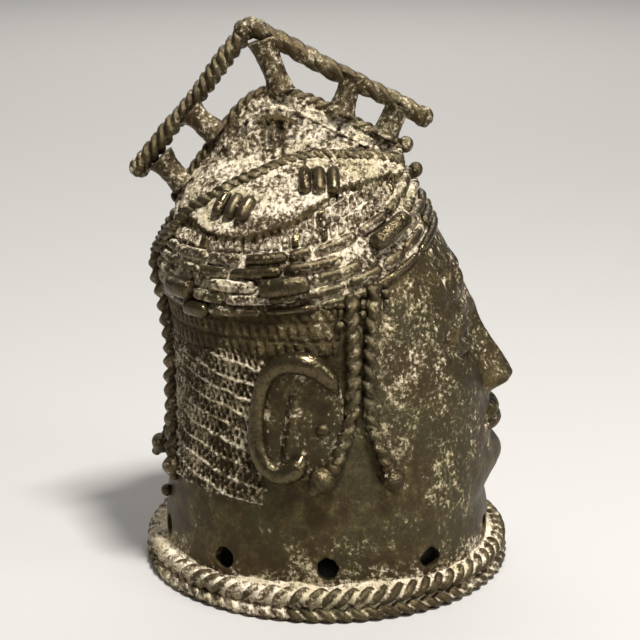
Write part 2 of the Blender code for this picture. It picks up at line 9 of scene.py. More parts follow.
import bpy
import numpy as np
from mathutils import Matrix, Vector


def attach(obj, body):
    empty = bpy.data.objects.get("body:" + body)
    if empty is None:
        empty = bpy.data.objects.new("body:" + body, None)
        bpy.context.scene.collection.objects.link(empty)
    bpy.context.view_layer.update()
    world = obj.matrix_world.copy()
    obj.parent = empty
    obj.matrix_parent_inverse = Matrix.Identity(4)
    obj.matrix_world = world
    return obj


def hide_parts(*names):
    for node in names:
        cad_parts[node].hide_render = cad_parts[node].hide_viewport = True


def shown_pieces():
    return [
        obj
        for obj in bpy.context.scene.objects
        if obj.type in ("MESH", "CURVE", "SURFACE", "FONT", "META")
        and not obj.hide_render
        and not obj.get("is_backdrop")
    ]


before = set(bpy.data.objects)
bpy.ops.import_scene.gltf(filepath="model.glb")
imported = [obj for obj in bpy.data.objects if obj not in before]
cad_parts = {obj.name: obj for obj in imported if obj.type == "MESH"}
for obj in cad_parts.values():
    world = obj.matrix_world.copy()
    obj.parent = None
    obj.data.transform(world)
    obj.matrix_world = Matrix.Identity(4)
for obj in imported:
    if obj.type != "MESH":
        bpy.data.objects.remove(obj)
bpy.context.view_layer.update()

bl_info = {
    "name": "Brass Head",
    "version": (1, 0, 0),
    "blender": (4, 5, 0),
    "location": "View3D > Sidebar > Brass Head",
    "description": "Dresses a cast brass head with beads, braids, bells, a crest and old metal",
    "category": "Add Mesh",
}

TAU = 2.0 * math.pi
NODE = "brass_head"

# Height, front, back and half width of the head above the collar, in shares of the head's height
FORM = (
    (0.247, -0.400, 0.385, 0.386),
    (0.350, -0.390, 0.367, 0.370),
    (0.453, -0.374, 0.361, 0.353),
    (0.556, -0.355, 0.363, 0.341),
    (0.658, -0.330, 0.376, 0.330),
    (0.741, -0.300, 0.391, 0.315),
    (0.823, -0.261, 0.373, 0.282),
    (0.885, -0.230, 0.338, 0.228),
    (0.947, -0.192, 0.288, 0.155),
    (0.984, -0.160, 0.240, 0.092),
    (1.000, -0.120, 0.190, 0.045),
)
COLLAR_SHARE = 0.12
SQUARENESS = 0.93

# Paths as (y, z) points on the skin, or in the middle plane for the crest and gable
CROWN_PATH = (
    (-0.0405, 0.2375), (-0.0270, 0.2405), (-0.0127, 0.2412), (0.0153, 0.2405), (0.0377, 0.2345),
    (0.0600, 0.2240), (0.0770, 0.2120), (0.0878, 0.1990), (0.0965, 0.1850),
)
CREST_PATH = (
    (-0.0430, 0.2470), (-0.0240, 0.2570), (-0.0020, 0.2685), (0.0200, 0.2772), (0.0300, 0.2795),
    (0.0390, 0.2775), (0.0520, 0.2665), (0.0668, 0.2470), (0.0786, 0.2310), (0.0880, 0.2165),
)
GABLE_BACK = (0.1088, 0.2345)
GABLE_APEX = (0.0435, 0.3163)
GABLE_FRONT = (-0.0565, 0.2642)
STRUTS = (
    ((0.083, 0.226), (0.0965, 0.241)),
    ((0.063, 0.255), (0.0785, 0.268)),
    ((0.026, 0.279), (0.037, 0.309)),
    ((-0.008, 0.267), (-0.015, 0.290)),
    ((-0.033, 0.254), (-0.041, 0.272)),
)
APEX_LUMPS = (((0, 0.0035, -0.0012), 0.95), ((0, -0.0038, -0.0006), 0.92), ((0, 0.0, 0.0010), 0.86))
FRONT_KNOBS = (((-0.0450, 0.2490), 1.0), ((-0.0510, 0.2345), 0.9))
BROW_CORD = ((-0.0380, 0.2395), (-0.0200, 0.2416), (0.0000, 0.2429), (0.0200, 0.2424))
REAR_PLAIT = (
    (-0.0120, 0.1800), (-0.0133, 0.1560), (-0.0139, 0.1340), (-0.0134, 0.1176),
    (-0.0096, 0.1013), (-0.0040, 0.0860),
)
FORE_PLAIT = (
    (-0.0245, 0.1850), (-0.0237, 0.1553), (-0.0228, 0.1336), (-0.0238, 0.1115),
    (-0.0277, 0.0975), (-0.0325, 0.0855),
)
LEDGE_PATH = (
    (-0.0300, 0.2330), (-0.0041, 0.2268), (0.0150, 0.2162), (0.0370, 0.2061),
    (0.0562, 0.2045), (0.0800, 0.2120),
)
EAR_PATH = (
    (-0.0057, 0.1262), (-0.0008, 0.1344), (0.0052, 0.1405), (0.0139, 0.1436), (0.0226, 0.1428),
    (0.0303, 0.1372), (0.0347, 0.1280), (0.0370, 0.1166), (0.0376, 0.1043), (0.0365, 0.0933),
    (0.0327, 0.0850), (0.0261, 0.0812),
    (0.0195, 0.0822), (0.0151, 0.0870), (0.0128, 0.0925),
)
EAR_RADII = (
    0.0032, 0.0052, 0.0062, 0.0066, 0.0061, 0.0053, 0.0047, 0.0044,
    0.0043, 0.0044, 0.0047, 0.0050, 0.0054, 0.0062, 0.0054,
)

# Each long bead's angle from the face in degrees, its row of the cap and its share of the full length
ACCENTS = ((52.0, 2.7, 1.30), (97.0, 1.8, 1.05), (142.0, 1.3, 0.85), (135.0, -0.1, 0.72))

# Low and high end of the middle tube in each bundle, as (y, z)
BUNDLES = (((0.0045, 0.2255), (0.0050, 0.2360)), ((0.0530, 0.2130), (0.0465, 0.2240)))

# Hair: the height where the net ends and the tufts begin, and how far each stands out
TUFT_LINE = 0.1445
TUFT_RISE = 0.0012
NET_RISE = 0.0025

# Cap: how far a short bar stands out, and the distance between two of them
BAR_RISE = 0.0029
BAR_PITCH = 0.0052

# Crest: place of the gate along the head, and its depth below the panel's edge
GATE_Y = 0.0300
GATE_DEPTH = 0.0135

# Points across and up each large grid
SHELL_COLUMNS = 420
FACE_STEP = 0.00098
HAIR_GRID = (430, 166)
CAP_GRID = (480, 66)
FIELD_GRID = (370, 112)
CREST_GRID = (172, 84)
EAR_GRID = (112, 130)

# How sandy each part of the casting is, from bare metal at 0 to buried at 1
BARE, LIGHT, SANDY, BURIED = 0.0, 0.28, 0.55, 0.85


def length(name, default, text):
    """A length property in metres."""
    return bpy.props.FloatProperty(
        name=name, description=text, default=default, min=0.0, subtype="DISTANCE", unit="LENGTH",
        precision=4,
    )


def colour(name, default, text):
    """A linear colour property."""
    return bpy.props.FloatVectorProperty(
        name=name, description=text, default=default, min=0.0, max=1.0, subtype="COLOR", size=3
    )


def whole(name, default, text):
    """A whole number property."""
    return bpy.props.IntProperty(name=name, description=text, default=default, min=1)


class BrassHeadSizes(bpy.types.PropertyGroup):
    """Sizes of the head, its collar and its face."""

    head_height: length("Head height", 0.243, "From the ground to the top of the skull")
    collar_radius: length("Collar radius", 0.097, "Outer radius of the collar")
    wall: length("Wall", 0.005, "Thickness of the casting")
    crown_wall: length("Crown wall", 0.008, "Thickness of the casting under the crest")
    chin_height: length("Chin height", 0.058, "Height of the chin")
    face_third: length("Face third", 0.0485, "Chin to nose, nose to brow and brow to hairline")
    hole_count: whole("Holes", 10, "Holes round the collar")
    hole_radius: length("Hole radius", 0.0062, "Mean radius of a hole")
    hole_height: length("Hole height", 0.0275, "Height of the row of holes")
    roughness: length("Casting roughness", 0.00022, "How far the wax surface wanders")


class BrassRopeSizes(bpy.types.PropertyGroup):
    """Sizes of the ropes, plaits, bells and ears."""

    ground_rope: length("Ground rope", 0.0045, "Radius of the rope on the ground")
    ground_ring: length("Ground ring", 0.1054, "Ring radius of the rope on the ground")
    edge_rope: length("Edge rope", 0.0055, "Radius of the rope on the ledge's edge")
    edge_ring: length("Edge ring", 0.1033, "Ring radius of the rope on the ledge's edge")
    ledge_rise: length("Ledge rise", 0.0085, "How far the ledge climbs to the collar")
    base_lobe: length("Base lobe", 0.0089, "Distance between strands along a base rope")
    crown_rope: length("Crown rope", 0.0040, "Radius of the rope over the crown")
    crown_lobe: length("Crown lobe", 0.0058, "Distance between strands along the crown rope")
    nape_rope: length("Nape rope", 0.0058, "Radius of the braids down the nape")
    plait: length("Plait", 0.0046, "Radius of a temple plait")
    plait_lobe: length("Plait lobe", 0.0086, "Distance between strands along a plait")
    bell: length("Bell", 0.0068, "Largest radius of a bell")


class BrassCrestSizes(bpy.types.PropertyGroup):
    """Sizes of the crest and its gable."""

    thickness: length("Panel edge", 0.0080, "Thickness of the panel along its top")
    rope: length("Crest rope", 0.0045, "Radius of the rope on the panel's edge")
    lobe: length("Crest lobe", 0.0064, "Distance between strands along the crest's ropes")
    gable_rope: length("Gable rope", 0.0058, "Radius of the gable's ropes")
    strut: length("Post", 0.0070, "Radius of a post")
    knob: length("Knob", 0.0050, "Radius of a front knob")
    gate_width: length("Gate width", 0.021, "Width of the gate in relief")
    gate_height: length("Gate height", 0.022, "Height of the gate in relief")
    gate_bar: length("Gate bar", 0.0026, "Half width of the gate's bars")
    gate_rise: length("Gate rise", 0.0034, "How far the gate stands out")


class BrassCapSizes(bpy.types.PropertyGroup):
    """Sizes of the bead cap."""

    rim_side: length("Rim at the side", 0.166, "Height of the cap's rim over the ear")
    rim_front_rise: length("Front rise", 0.040, "How much higher the rim is over the face")
    rim_back_rise: length("Back rise", 0.004, "How much higher the rim is at the back")
    rows: whole("Rows", 5, "Rows of tubular beads")
    pitch: length("Row pitch", 0.0068, "Distance between rows")
    bead: length("Bead", 0.0031, "Radius of a bead")
    bead_length: length("Bead length", 0.0240, "Mean length of a bead")
    accent: length("Long bead", 0.0058, "Radius of a standing bead")
    accent_length: length("Long bead length", 0.0280, "Length of a standing bead")
    bundle: length("Bundle tube", 0.0037, "Radius of a tube in a bundle")


class BrassFinish(bpy.types.PropertyGroup):
    """Colours of the old metal."""

    brown: colour("Brown patina", (0.066, 0.046, 0.023), "Main colour of the metal")
    olive: colour("Olive patina", (0.150, 0.116, 0.048), "Warm clouds in the patina")
    green: colour("Green patina", (0.085, 0.086, 0.046), "Cool clouds in the patina")
    sand: colour("Crust", (0.270, 0.197, 0.114), "Earthy crust on the casting")
    pale: colour("Pale crust", (0.860, 0.755, 0.570), "Lightest grains of the crust")
    ochre: colour("Ochre crust", (0.480, 0.395, 0.210), "Yellow clouds in the crust")
    worn: colour("Worn metal", (0.105, 0.080, 0.040), "Handled ridges")
    floor: colour("Floor", (0.485, 0.466, 0.440), "Colour of the floor")


def smooth_curve(at, known, values):
    """Cubic through (known, values), with the slope at each point taken from its neighbours."""
    known, values = np.asarray(known, float), np.asarray(values, float)
    slopes = np.gradient(values, known)
    at = np.clip(at, known[0], known[-1])
    i = np.clip(np.searchsorted(known, at, side="right") - 1, 0, len(known) - 2)
    gap = known[i + 1] - known[i]
    t = (at - known[i]) / gap
    return (
        values[i] * (1 + 2 * t) * (1 - t) ** 2
        + values[i + 1] * t * t * (3 - 2 * t)
        + gap * slopes[i] * t * (1 - t) ** 2
        - gap * slopes[i + 1] * t * t * (1 - t)
    )


def bump(u, v=0.0):
    """A round hill of height one over (u, v) = (0, 0): e to minus the squared distance."""
    return np.exp(-(u * u + v * v))


def step(value, softness):
    """A smooth step from 0 to 1 where value crosses zero."""
    return 1 / (1 + np.exp(-np.clip(value / softness, -40, 40)))


def lattice_noise(points, cell, seed):
    """Seeded values from -1 to 1 on a cubic lattice of that cell, blended by a cubic in each axis."""
    table = np.random.default_rng(seed).uniform(-1, 1, (32, 32, 32))
    place = np.asarray(points) / cell
    base = np.floor(place).astype(int)
    part = place - base
    part = part * part * (3 - 2 * part)
    total = 0
    for corner in np.ndindex(2, 2, 2):
        weight = np.prod(np.where(corner, part, 1 - part), axis=-1)
        total = total + weight * table[tuple(((base + corner) % 32)[..., k] for k in range(3))]
    return total


def head_section(z):
    """Front y, back y and half width of the plain head at height z."""
    sizes = bpy.context.scene.brass_head
    collar = sizes.collar_radius / sizes.head_height
    rows = np.array([(0.0, -collar, collar, collar), (COLLAR_SHARE, -collar, collar, collar), *FORM])
    at = np.asarray(z, float) / sizes.head_height
    return [smooth_curve(at, rows[:, 0], rows[:, k]) * sizes.head_height for k in (1, 2, 3)]


def head_point(angle, z, inset=0.0):
    """A superellipse between front, back and sides at height z, at an angle from the face."""
    front, back, half_width = head_section(z)
    reach = (back - front) / 2 - inset
    sine, cosine = np.sin(angle), np.cos(angle)
    x = (half_width - inset) * np.sign(sine) * np.abs(sine) ** SQUARENESS
    y = (back + front) / 2 - reach * np.sign(cosine) * np.abs(cosine) ** SQUARENESS
    return np.stack([x, y, z + 0 * x], -1)


def unit(vectors):
    """Vectors scaled to length one."""
    return vectors / np.maximum(np.linalg.norm(vectors, axis=-1, keepdims=True), 1e-12)


def head_normal(angle, z):
    """Outward normal of the plain head: its run round the head crossed with its run up it."""
    turn, rise = 1e-3, 2e-4
    round_it = head_point(angle + turn, z) - head_point(angle - turn, z)
    up_it = head_point(angle, z + rise) - head_point(angle, z - rise)
    return unit(np.cross(round_it, up_it))


def skin_angle(y, z):
    """Angle from the face of the skin's point at (y, z) on the left side."""
    front, back, _ = head_section(z)
    cosine = np.clip(((back + front) / 2 - y) / ((back - front) / 2), -1, 1)
    return np.arccos(np.sign(cosine) * np.abs(cosine) ** (1 / SQUARENESS))


def on_skin(path, side, proud=0.0):
    """Points and normals of the skin through (y, z) points on the side -1 or 1, raised by proud."""
    y, z = np.array(path, float).T
    angle = side * skin_angle(y, z)
    normal = head_normal(angle, z)
    return head_point(angle, z) + proud * normal, normal


def through(points, count):
    """Points along a smooth line through a few points, evenly spaced by length."""
    points = np.asarray(points, float)
    steps = np.r_[0, np.cumsum(np.linalg.norm(np.diff(points, axis=0), axis=1))]
    fine = np.linspace(0, steps[-1], 30 * len(points))
    line = np.stack([smooth_curve(fine, steps, points[:, k]) for k in range(points.shape[1])], -1)
    run = np.r_[0, np.cumsum(np.linalg.norm(np.diff(line, axis=0), axis=1))]
    at = np.linspace(0, run[-1], count)
    return np.stack([np.interp(at, run, line[:, k]) for k in range(line.shape[1])], -1)


def brow_and_eye(u, v):
    """An arched brow, a lidded eye in its socket, and three upright bosses on the forehead."""
    along = (u - 0.61) / 0.33
    arch = np.clip(1 - along**2, 0, 1)
    mask = 1 / (1 + np.exp((np.abs(along) - 1.04) / 0.06))
    upper, lower = 1.755 + 0.155 * arch, 1.755 - 0.115 * arch
    brow = 2.05 - 0.22 * (u - 0.50) ** 2
    ends = bump((u - 0.62) / 0.52)
    return (
        0.05 * bump(u / 0.9, (v - 2.45) / 0.5)
        + 0.09 * ends * bump((v - brow) / 0.10)
        - 0.19 * bump((u - 0.60) / 0.42, (v - 1.78) / 0.27)
        + 0.15 * np.sqrt(np.clip(1 - ((u - 0.61) / 0.36) ** 2 - ((v - 1.78) / 0.23) ** 2, 0, 1))
        + 0.060 * mask * bump((v - upper) / 0.045)
        + 0.045 * mask * bump((v - lower) / 0.040)
        + 0.09 * bump((u - 0.95) / 0.42, (v - 1.22) / 0.40)
        + sum(0.07 * bump((u - at) / 0.075, (v - 2.46) / 0.16) for at in (0.36, 0.64, 0.92))
    )


def nose(u, v):
    """A straight nose with a rounded tip, two wings and the groove below it."""
    line = smooth_curve(
        v,
        (0.90, 0.98, 1.04, 1.12, 1.20, 1.50, 1.80, 2.05, 2.35),
        (0.00, 0.10, 0.29, 0.385, 0.375, 0.26, 0.15, 0.07, 0.00),
    )
    width = np.interp(v, (0.95, 1.15, 1.35, 1.7, 2.0), (0.23, 0.235, 0.18, 0.14, 0.18))
    return (
        line * np.exp(-((u / width) ** 2.2))
        + 0.18 * bump((u - 0.26) / 0.12, (v - 1.09) / 0.11)
        - 0.06 * bump((u - 0.11) / 0.06, (v - 0.965) / 0.045)
        - 0.03 * bump(u / 0.055, (v - 0.87) / 0.07)
    )


def mouth_and_chin(u, v):
    """Closed full lips, a rounded chin, and the hollow between the chin and the collar."""
    taper = np.sqrt(np.clip(1 - (u / 0.53) ** 2, 0, 1))
    parting = 0.665 - 0.02 * (u / 0.5) ** 2
    above = (v - parting - 0.012 + 0.018 * bump(u / 0.08)) / (0.145 * taper + 0.01)
    below = (parting - 0.012 - v) / (0.165 * taper + 0.01)
    return (
        0.10 * bump(u / 0.72, (v - 0.68) / 0.42)
        + 0.115 * taper * lip(above)
        + 0.125 * taper * lip(below)
        - 0.045 * bump((u - 0.55) / 0.08, (v - 0.66) / 0.08)
        - 0.07 * bump(u / 0.42, (v - 0.40) / 0.09)
        + 0.15 * bump(u / 0.46, (v - 0.13) / 0.24)
        - 0.08 * bump(u / 1.1, (v + 0.24) / 0.15)
    )


def lip(at):
    """A lip's fullness from the parting, 0, to its edge, 1."""
    at = np.clip(at, 0, 1)
    return (4 * at * (1 - at)) ** 0.5 * (1 - 0.35 * at)


def face_relief(x, z):
    """How far the face stands out of the plain head, worked out in thirds of the face."""
    sizes = bpy.context.scene.brass_head
    u, v = np.abs(x) / sizes.face_third, (z - sizes.chin_height) / sizes.face_third
    return sizes.face_third * (brow_and_eye(u, v) + nose(u, v) + mouth_and_chin(u, v))


def grid_faces(rows, columns, start=0, closed=False, flip=False):
    """Corner numbers of a grid's quads. closed joins the last column to the first."""
    i = np.arange(rows - 1)[:, None]
    j = np.arange(columns if closed else columns - 1)[None, :]
    k = (j + 1) % columns
    low, high = start + i * columns, start + (i + 1) * columns
    quads = np.stack([low + j, low + k, high + k, high + j], -1).reshape(-1, 4)
    return quads[:, ::-1] if flip else quads


class Wax:
    """Points and faces gathered for one piece, with how sandy and how polished each point is."""

    def __init__(self):
        self.points, self.quads, self.caps, self.sand, self.polish = [], [], [], [], []
        self.count = 0

    def add(self, points, sand, polish):
        """Adds points, and gives the number of the first."""
        flat = np.asarray(points, float).reshape(-1, 3)
        first = self.count
        self.points.append(flat)
        self.sand.append(np.broadcast_to(np.asarray(sand, float).reshape(-1), (len(flat),)))
        self.polish.append(np.broadcast_to(np.asarray(polish, float).reshape(-1), (len(flat),)))
        self.count += len(flat)
        return first

    def join(self, low, high, columns):
        """Quads from the ring that starts at point low to the one that starts at point high."""
        j = np.arange(columns)
        k = (j + 1) % columns
        self.quads.append(np.stack([low + j, low + k, high + k, high + j], -1))

    def tube(self, rings, sand=LIGHT, polish=0.0, closed=False):
        """Rings of points in order along a path, turning left about it, closed off or joined up."""
        rows, columns = rings.shape[:2]
        first = self.add(rings, sand, polish)
        self.quads.append(grid_faces(rows, columns, first, closed=True))
        if closed:
            self.join(first + (rows - 1) * columns, first, columns)
        else:
            self.caps.append(np.arange(columns)[::-1] + first)
            self.caps.append(np.arange(columns) + first + (rows - 1) * columns)

    def rope(self, sand, sandier, polish, *where, **how):
        """A rope with that sand on its strands, sandier by so much in its grooves, and its polish."""
        rings, deep = rope_rings(*where, **how)
        self.tube(rings, sand + sandier * deep, polish * (1 - deep))

    def lump(self, centre, sizes, sand, polish=0.0, columns=16, rows=11):
        """A ball with three half sizes."""
        self.tube(lump_rings(centre, sizes, columns, rows), sand, polish)

    def linked(self, name):
        """The gathered faces as an object in the scene."""
        mesh = bpy.data.meshes.new(name)
        faces = np.concatenate(self.quads).tolist() + [cap.tolist() for cap in self.caps]
        mesh.from_pydata(np.concatenate(self.points).tolist(), [], faces)
        piece = bpy.data.objects.new(name, mesh)
        bpy.context.scene.collection.objects.link(piece)
        return piece

    def make(self, name, material):
        """The gathered piece as an object that rides on the casting."""
        piece = self.linked(name)
        mesh = piece.data
        mesh.update()
        mesh.shade_smooth()
        for label, values in (("sand", self.sand), ("polish", self.polish)):
            made = mesh.attributes.new(label, "FLOAT", "POINT")
            made.data.foreach_set("value", np.concatenate(values).astype(np.float32))
        mesh.materials.append(material)
        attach(piece, "root")
        return piece


def roughen(piece, amount=1.0, seed=1, grit=0.3):
    """Moves each point along its normal by three sizes of lattice noise, but never below the ground."""
    size = bpy.context.scene.brass_head.roughness * amount
    mesh = piece.data
    points, normals = read(mesh.vertices, "co"), read(mesh.vertex_normals, "vector")
    wander = 0.9 * lattice_noise(points, 0.0085, seed) + 0.6 * lattice_noise(points, 0.0028, seed + 1)
    wander = wander + grit * lattice_noise(points, 0.0014, seed + 2)
    moved = points + size * wander[:, None] * normals
    moved[:, 2] = np.maximum(moved[:, 2], 0.0)
    mesh.vertices.foreach_set("co", moved.ravel())
    mesh.update()


def read(items, field, width=3):
    """A field of every item as an array."""
    values = np.empty(len(items) * width, np.float32)
    items.foreach_get(field, values)
    return values.reshape(-1, width).astype(float) if width > 1 else values.astype(float)


def strands(turn, count=3):
    """Radius share of round strands laid together: each is a circle off the middle."""
    half, off = math.pi / count, 0.46 if count == 3 else 0.40
    near = (turn + half) % (2 * half) - half
    return off * np.cos(near) + np.sqrt((1 - off) ** 2 - (off * np.sin(near)) ** 2)


def boxed(turn, power=2.7):
    """Radius share of a squarish rod: the sum of its sides' powers stays one."""
    return (np.abs(np.cos(turn)) ** power + np.abs(np.sin(turn)) ** power) ** (-1 / power) * 0.93


def sweep(path, normals, radius, columns=24, profile=None, closed=False):
    """Rings round a path, from its normal round by the left. radius is one value or one per point."""
    path, normals = np.asarray(path, float), np.asarray(normals, float)
    if closed:
        tangent = unit(np.roll(path, -1, 0) - np.roll(path, 1, 0))
    else:
        tangent = unit(np.gradient(path, axis=0))
    normal = unit(normals - (normals * tangent).sum(-1, keepdims=True) * tangent)
    side = np.cross(tangent, normal)
    turn = np.linspace(0, TAU, columns, endpoint=False)
    radius = np.asarray(radius, float)
    radius = radius[:, None] if radius.ndim == 1 else radius
    reach = radius if profile is None else radius * profile
    out = (reach * np.cos(turn))[..., None] * normal[:, None]
    return path[:, None] + out + (reach * np.sin(turn))[..., None] * side[:, None]


def rounded(count, ends=3.0):
    """Radius shares along a rod with rounded ends."""
    at = np.linspace(-1, 1, count)
    return np.clip(1 - np.abs(at) ** (2 * ends), 0.02, 1) ** 0.5


def rope_rings(points, normals, radius, lobe, hand=1, columns=30, closed=False, seed=3, count_of=3, worn=0.0):
    """A rope, and how deep each point lies between its strands, from 0 on a strand to 1 in a groove.

    The outline of the strands turns once for every count_of lobes along the path.
    """
    points = np.asarray(points, float)
    shut = np.vstack([points, points[:1]]) if closed else points
    run = np.r_[0, np.cumsum(np.linalg.norm(np.diff(shut, axis=0), axis=1))]
    turns = run[-1] / (count_of * lobe)
    turns = round(turns) if closed else turns
    count = int(run[-1] / (lobe / 8.0))
    at = np.linspace(0, run[-1], count, endpoint=not closed)
    line = np.stack([np.interp(at, run, shut[:, k]) for k in range(3)], -1)
    shut_normals = np.vstack([normals, normals[:1]]) if closed else normals
    facing = np.stack([np.interp(at, run, shut_normals[:, k]) for k in range(3)], -1)
    angle = np.linspace(0, TAU, columns, endpoint=False)
    twist = TAU * turns * at / run[-1]
    wander = 0.0 if closed else 0.35 * np.interp(at, run, lattice_noise(shut, 0.02, seed))
    profile = strands(angle[None, :] + hand * (twist + wander)[:, None], count_of)
    profile = profile + worn * (0.93 - profile)
    thick = 1 + 0.07 * lattice_noise(line, lobe * 1.3, seed + 5)
    if not closed:
        thick = thick * np.clip(np.minimum(at, run[-1] - at) / (0.35 * radius) + 0.25, 0.25, 1) ** 0.5
    deep = np.clip((0.86 - profile) / 0.34, 0, 1)
    return sweep(line, facing, radius * thick, columns, profile, closed), deep


def drop_rings(top, downward, radius, stretch=1.0, columns=20):
    """A bell: a turned profile with a neck, a round body and a blunt tip, along downward."""
    shares = np.array(
        [
            (0.00, 0.30), (0.10, 0.46), (0.22, 0.44), (0.34, 0.42), (0.52, 0.58), (0.80, 0.84), (1.15, 1.00),
            (1.50, 0.98), (1.80, 0.82), (2.05, 0.58), (2.22, 0.44), (2.42, 0.40), (2.60, 0.33), (2.70, 0.12),
        ]
    )
    fine = np.linspace(0, shares[-1, 0], 30)
    at, size = shares.T
    reach = np.interp(fine, at, size) * 0.35 + 0.65 * smooth_curve(fine, at, size)
    path = np.asarray(top) + np.outer(fine * radius * stretch, unit(np.asarray(downward, float)))
    aside = np.cross(downward, (0.31, 0.2, 0.93)) + (1e-6, 0, 0)
    return sweep(path, np.broadcast_to(unit(aside), path.shape), radius * reach, columns)


def lump_rings(centre, sizes, columns=16, rows=11):
    """A ball with three half sizes, as rings from its lower pole to its upper one."""
    rise = np.linspace(-0.5, 0.5, rows) * math.pi * 0.985
    turn = np.linspace(0, TAU, columns, endpoint=False)
    x = np.cos(rise)[:, None] * np.cos(turn)
    y = np.cos(rise)[:, None] * np.sin(turn)
    z = np.sin(rise)[:, None] + 0 * turn
    return np.asarray(centre) + np.stack([x, y, z], -1) * sizes


def on_side(side, first, last, count):
    """Angles in order over one side of the head, from degrees off the face."""
    angle = np.radians(np.linspace(first, last, count))
    return angle if side > 0 else -angle[::-1]


def lay_patch(wax, angle, z, proud, sand, polish=0.0, depth=0.0026):
    """A closed sheet over the skin at (angle, z), standing proud by a given amount at each point."""
    skin, normal = head_point(angle, z), head_normal(angle, z)
    proud = np.array(proud, float)
    proud[0], proud[-1], proud[:, 0], proud[:, -1] = -0.0014, -0.0014, -0.0014, -0.0014
    rows, columns = z.shape
    picked = np.linspace(0, rows - 1, 7).astype(int)
    behind = (skin - depth * normal)[picked]
    first = wax.add(skin + proud[..., None] * normal, sand, polish)
    second = wax.add(behind, SANDY, 0)
    wax.quads.append(grid_faces(rows, columns, first))
    wax.quads.append(grid_faces(len(picked), columns, second, flip=True))
    j = np.arange(columns - 1)
    wax.quads.append(np.stack([second + j, second + j + 1, first + j + 1, first + j], -1))
    top, back_top = first + (rows - 1) * columns, second + (len(picked) - 1) * columns
    wax.quads.append(np.stack([top + j, top + j + 1, back_top + j + 1, back_top + j], -1))
    up, back_up = np.arange(rows) * columns, np.arange(len(picked)) * columns
    wax.caps.append(np.r_[first + up, (second + back_up)[::-1]])
    wax.caps.append(np.r_[first + up, (second + back_up)[::-1]][::-1] + columns - 1)


def make_shell(material):
    """The wall of the head: outer skin with the face, inner wall, and the row of ragged holes."""
    sizes = bpy.context.scene.brass_head
    turn = np.linspace(0, TAU, SHELL_COLUMNS, endpoint=False)
    angle = turn - 0.5 * np.sin(turn)
    face = np.arange(0.050, 0.206, FACE_STEP)
    heights = np.r_[np.linspace(0, 0.0485, 24), face, np.linspace(0.208, sizes.head_height, 14)]
    outer = head_point(angle[None, :], heights[:, None])
    facing = np.clip(np.cos(angle), 0, 1) ** 0.5
    outer[..., 1] -= facing * face_relief(outer[..., 0], outer[..., 2])
    shrink = sizes.head_height / (sizes.head_height - sizes.crown_wall)
    inside = np.linspace(0, 0.96, 22) * sizes.head_height / shrink
    inner = head_point(angle[None, :], inside[:, None] * shrink, sizes.wall)
    inner[..., 2] = inside[:, None]
    wax = Wax()
    y, z = outer[..., 1], outer[..., 2]
    temple = step(z - 0.150, 0.012) + 0.5 * bump((y + 0.045) / 0.030, (z - 0.120) / 0.04)
    front = step(-0.022 - y, 0.012) * step(z - 0.045, 0.01)
    sand = BARE + 0.40 * bump((z - 0.022) / 0.009) + 0.20 * temple + 0.12 * front
    sand = sand + 0.20 * lattice_noise(outer, 0.022, 12) + 0.10 * lattice_noise(outer, 0.008, 13)
    first = wax.add(outer, sand, 0)
    wax.quads.append(grid_faces(*outer.shape[:2], first, closed=True))
    second = wax.add(inner, SANDY, 0)
    wax.quads.append(grid_faces(*inner.shape[:2], second, closed=True, flip=True))
    columns = len(angle)
    ring = np.arange(columns)
    wax.join(second, first, columns)
    wax.caps.append(first + (len(heights) - 1) * columns + ring)
    wax.caps.append((second + (len(inside) - 1) * columns + ring)[::-1])
    shell = wax.make("head_shell", material)
    roughen(shell, 1.2, 11, 0.15)
    bore(shell, ragged_pegs(sizes))
    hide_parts(NODE)
    return shell


def ragged_pegs(sizes):
    """Pegs along each hole's axis whose radius wanders as it goes round."""
    wax = Wax()
    turn = np.linspace(0, TAU, 28, endpoint=False)
    for i in range(sizes.hole_count):
        around = TAU * i / sizes.hole_count
        axis = np.array([math.cos(around), math.sin(around), 0])
        path = axis * (sizes.collar_radius + np.array([-3, -1, 0, 1, 3]) * sizes.wall)[:, None]
        path[:, 2] = sizes.hole_height
        spots = np.stack([np.cos(turn), np.sin(turn), 0 * turn + 7.3 * i], -1)
        ragged = 1 + 0.16 * lattice_noise(spots, 0.8, 40) + 0.07 * lattice_noise(spots, 0.25, 41)
        up = np.broadcast_to((0.0, 0.0, 1.0), path.shape)
        wax.tube(sweep(path, up, sizes.hole_radius * np.array([1.2, 1.02, 1.0, 1.05, 1.4]), 28, ragged))
    return wax.linked("pegs")


def bore(piece, cutter):
    """Cuts the cutter out of the piece for good, and removes the cutter."""
    cut = piece.modifiers.new("bore", "BOOLEAN")
    cut.operation = "DIFFERENCE"
    cut.solver = "EXACT"
    cut.object = cutter
    bpy.context.view_layer.update()
    graph = bpy.context.evaluated_depsgraph_get()
    mesh = bpy.data.meshes.new_from_object(piece.evaluated_get(graph))
    piece.modifiers.clear()
    old = piece.data
    piece.data = mesh
    mesh.name = piece.name
    bpy.data.meshes.remove(old)
    bpy.data.objects.remove(cutter)


def edge_height(ropes):
    """Height of the edge rope's centre over the ground rope."""
    return 2 * ropes.ground_rope + ropes.edge_rope - 0.0012


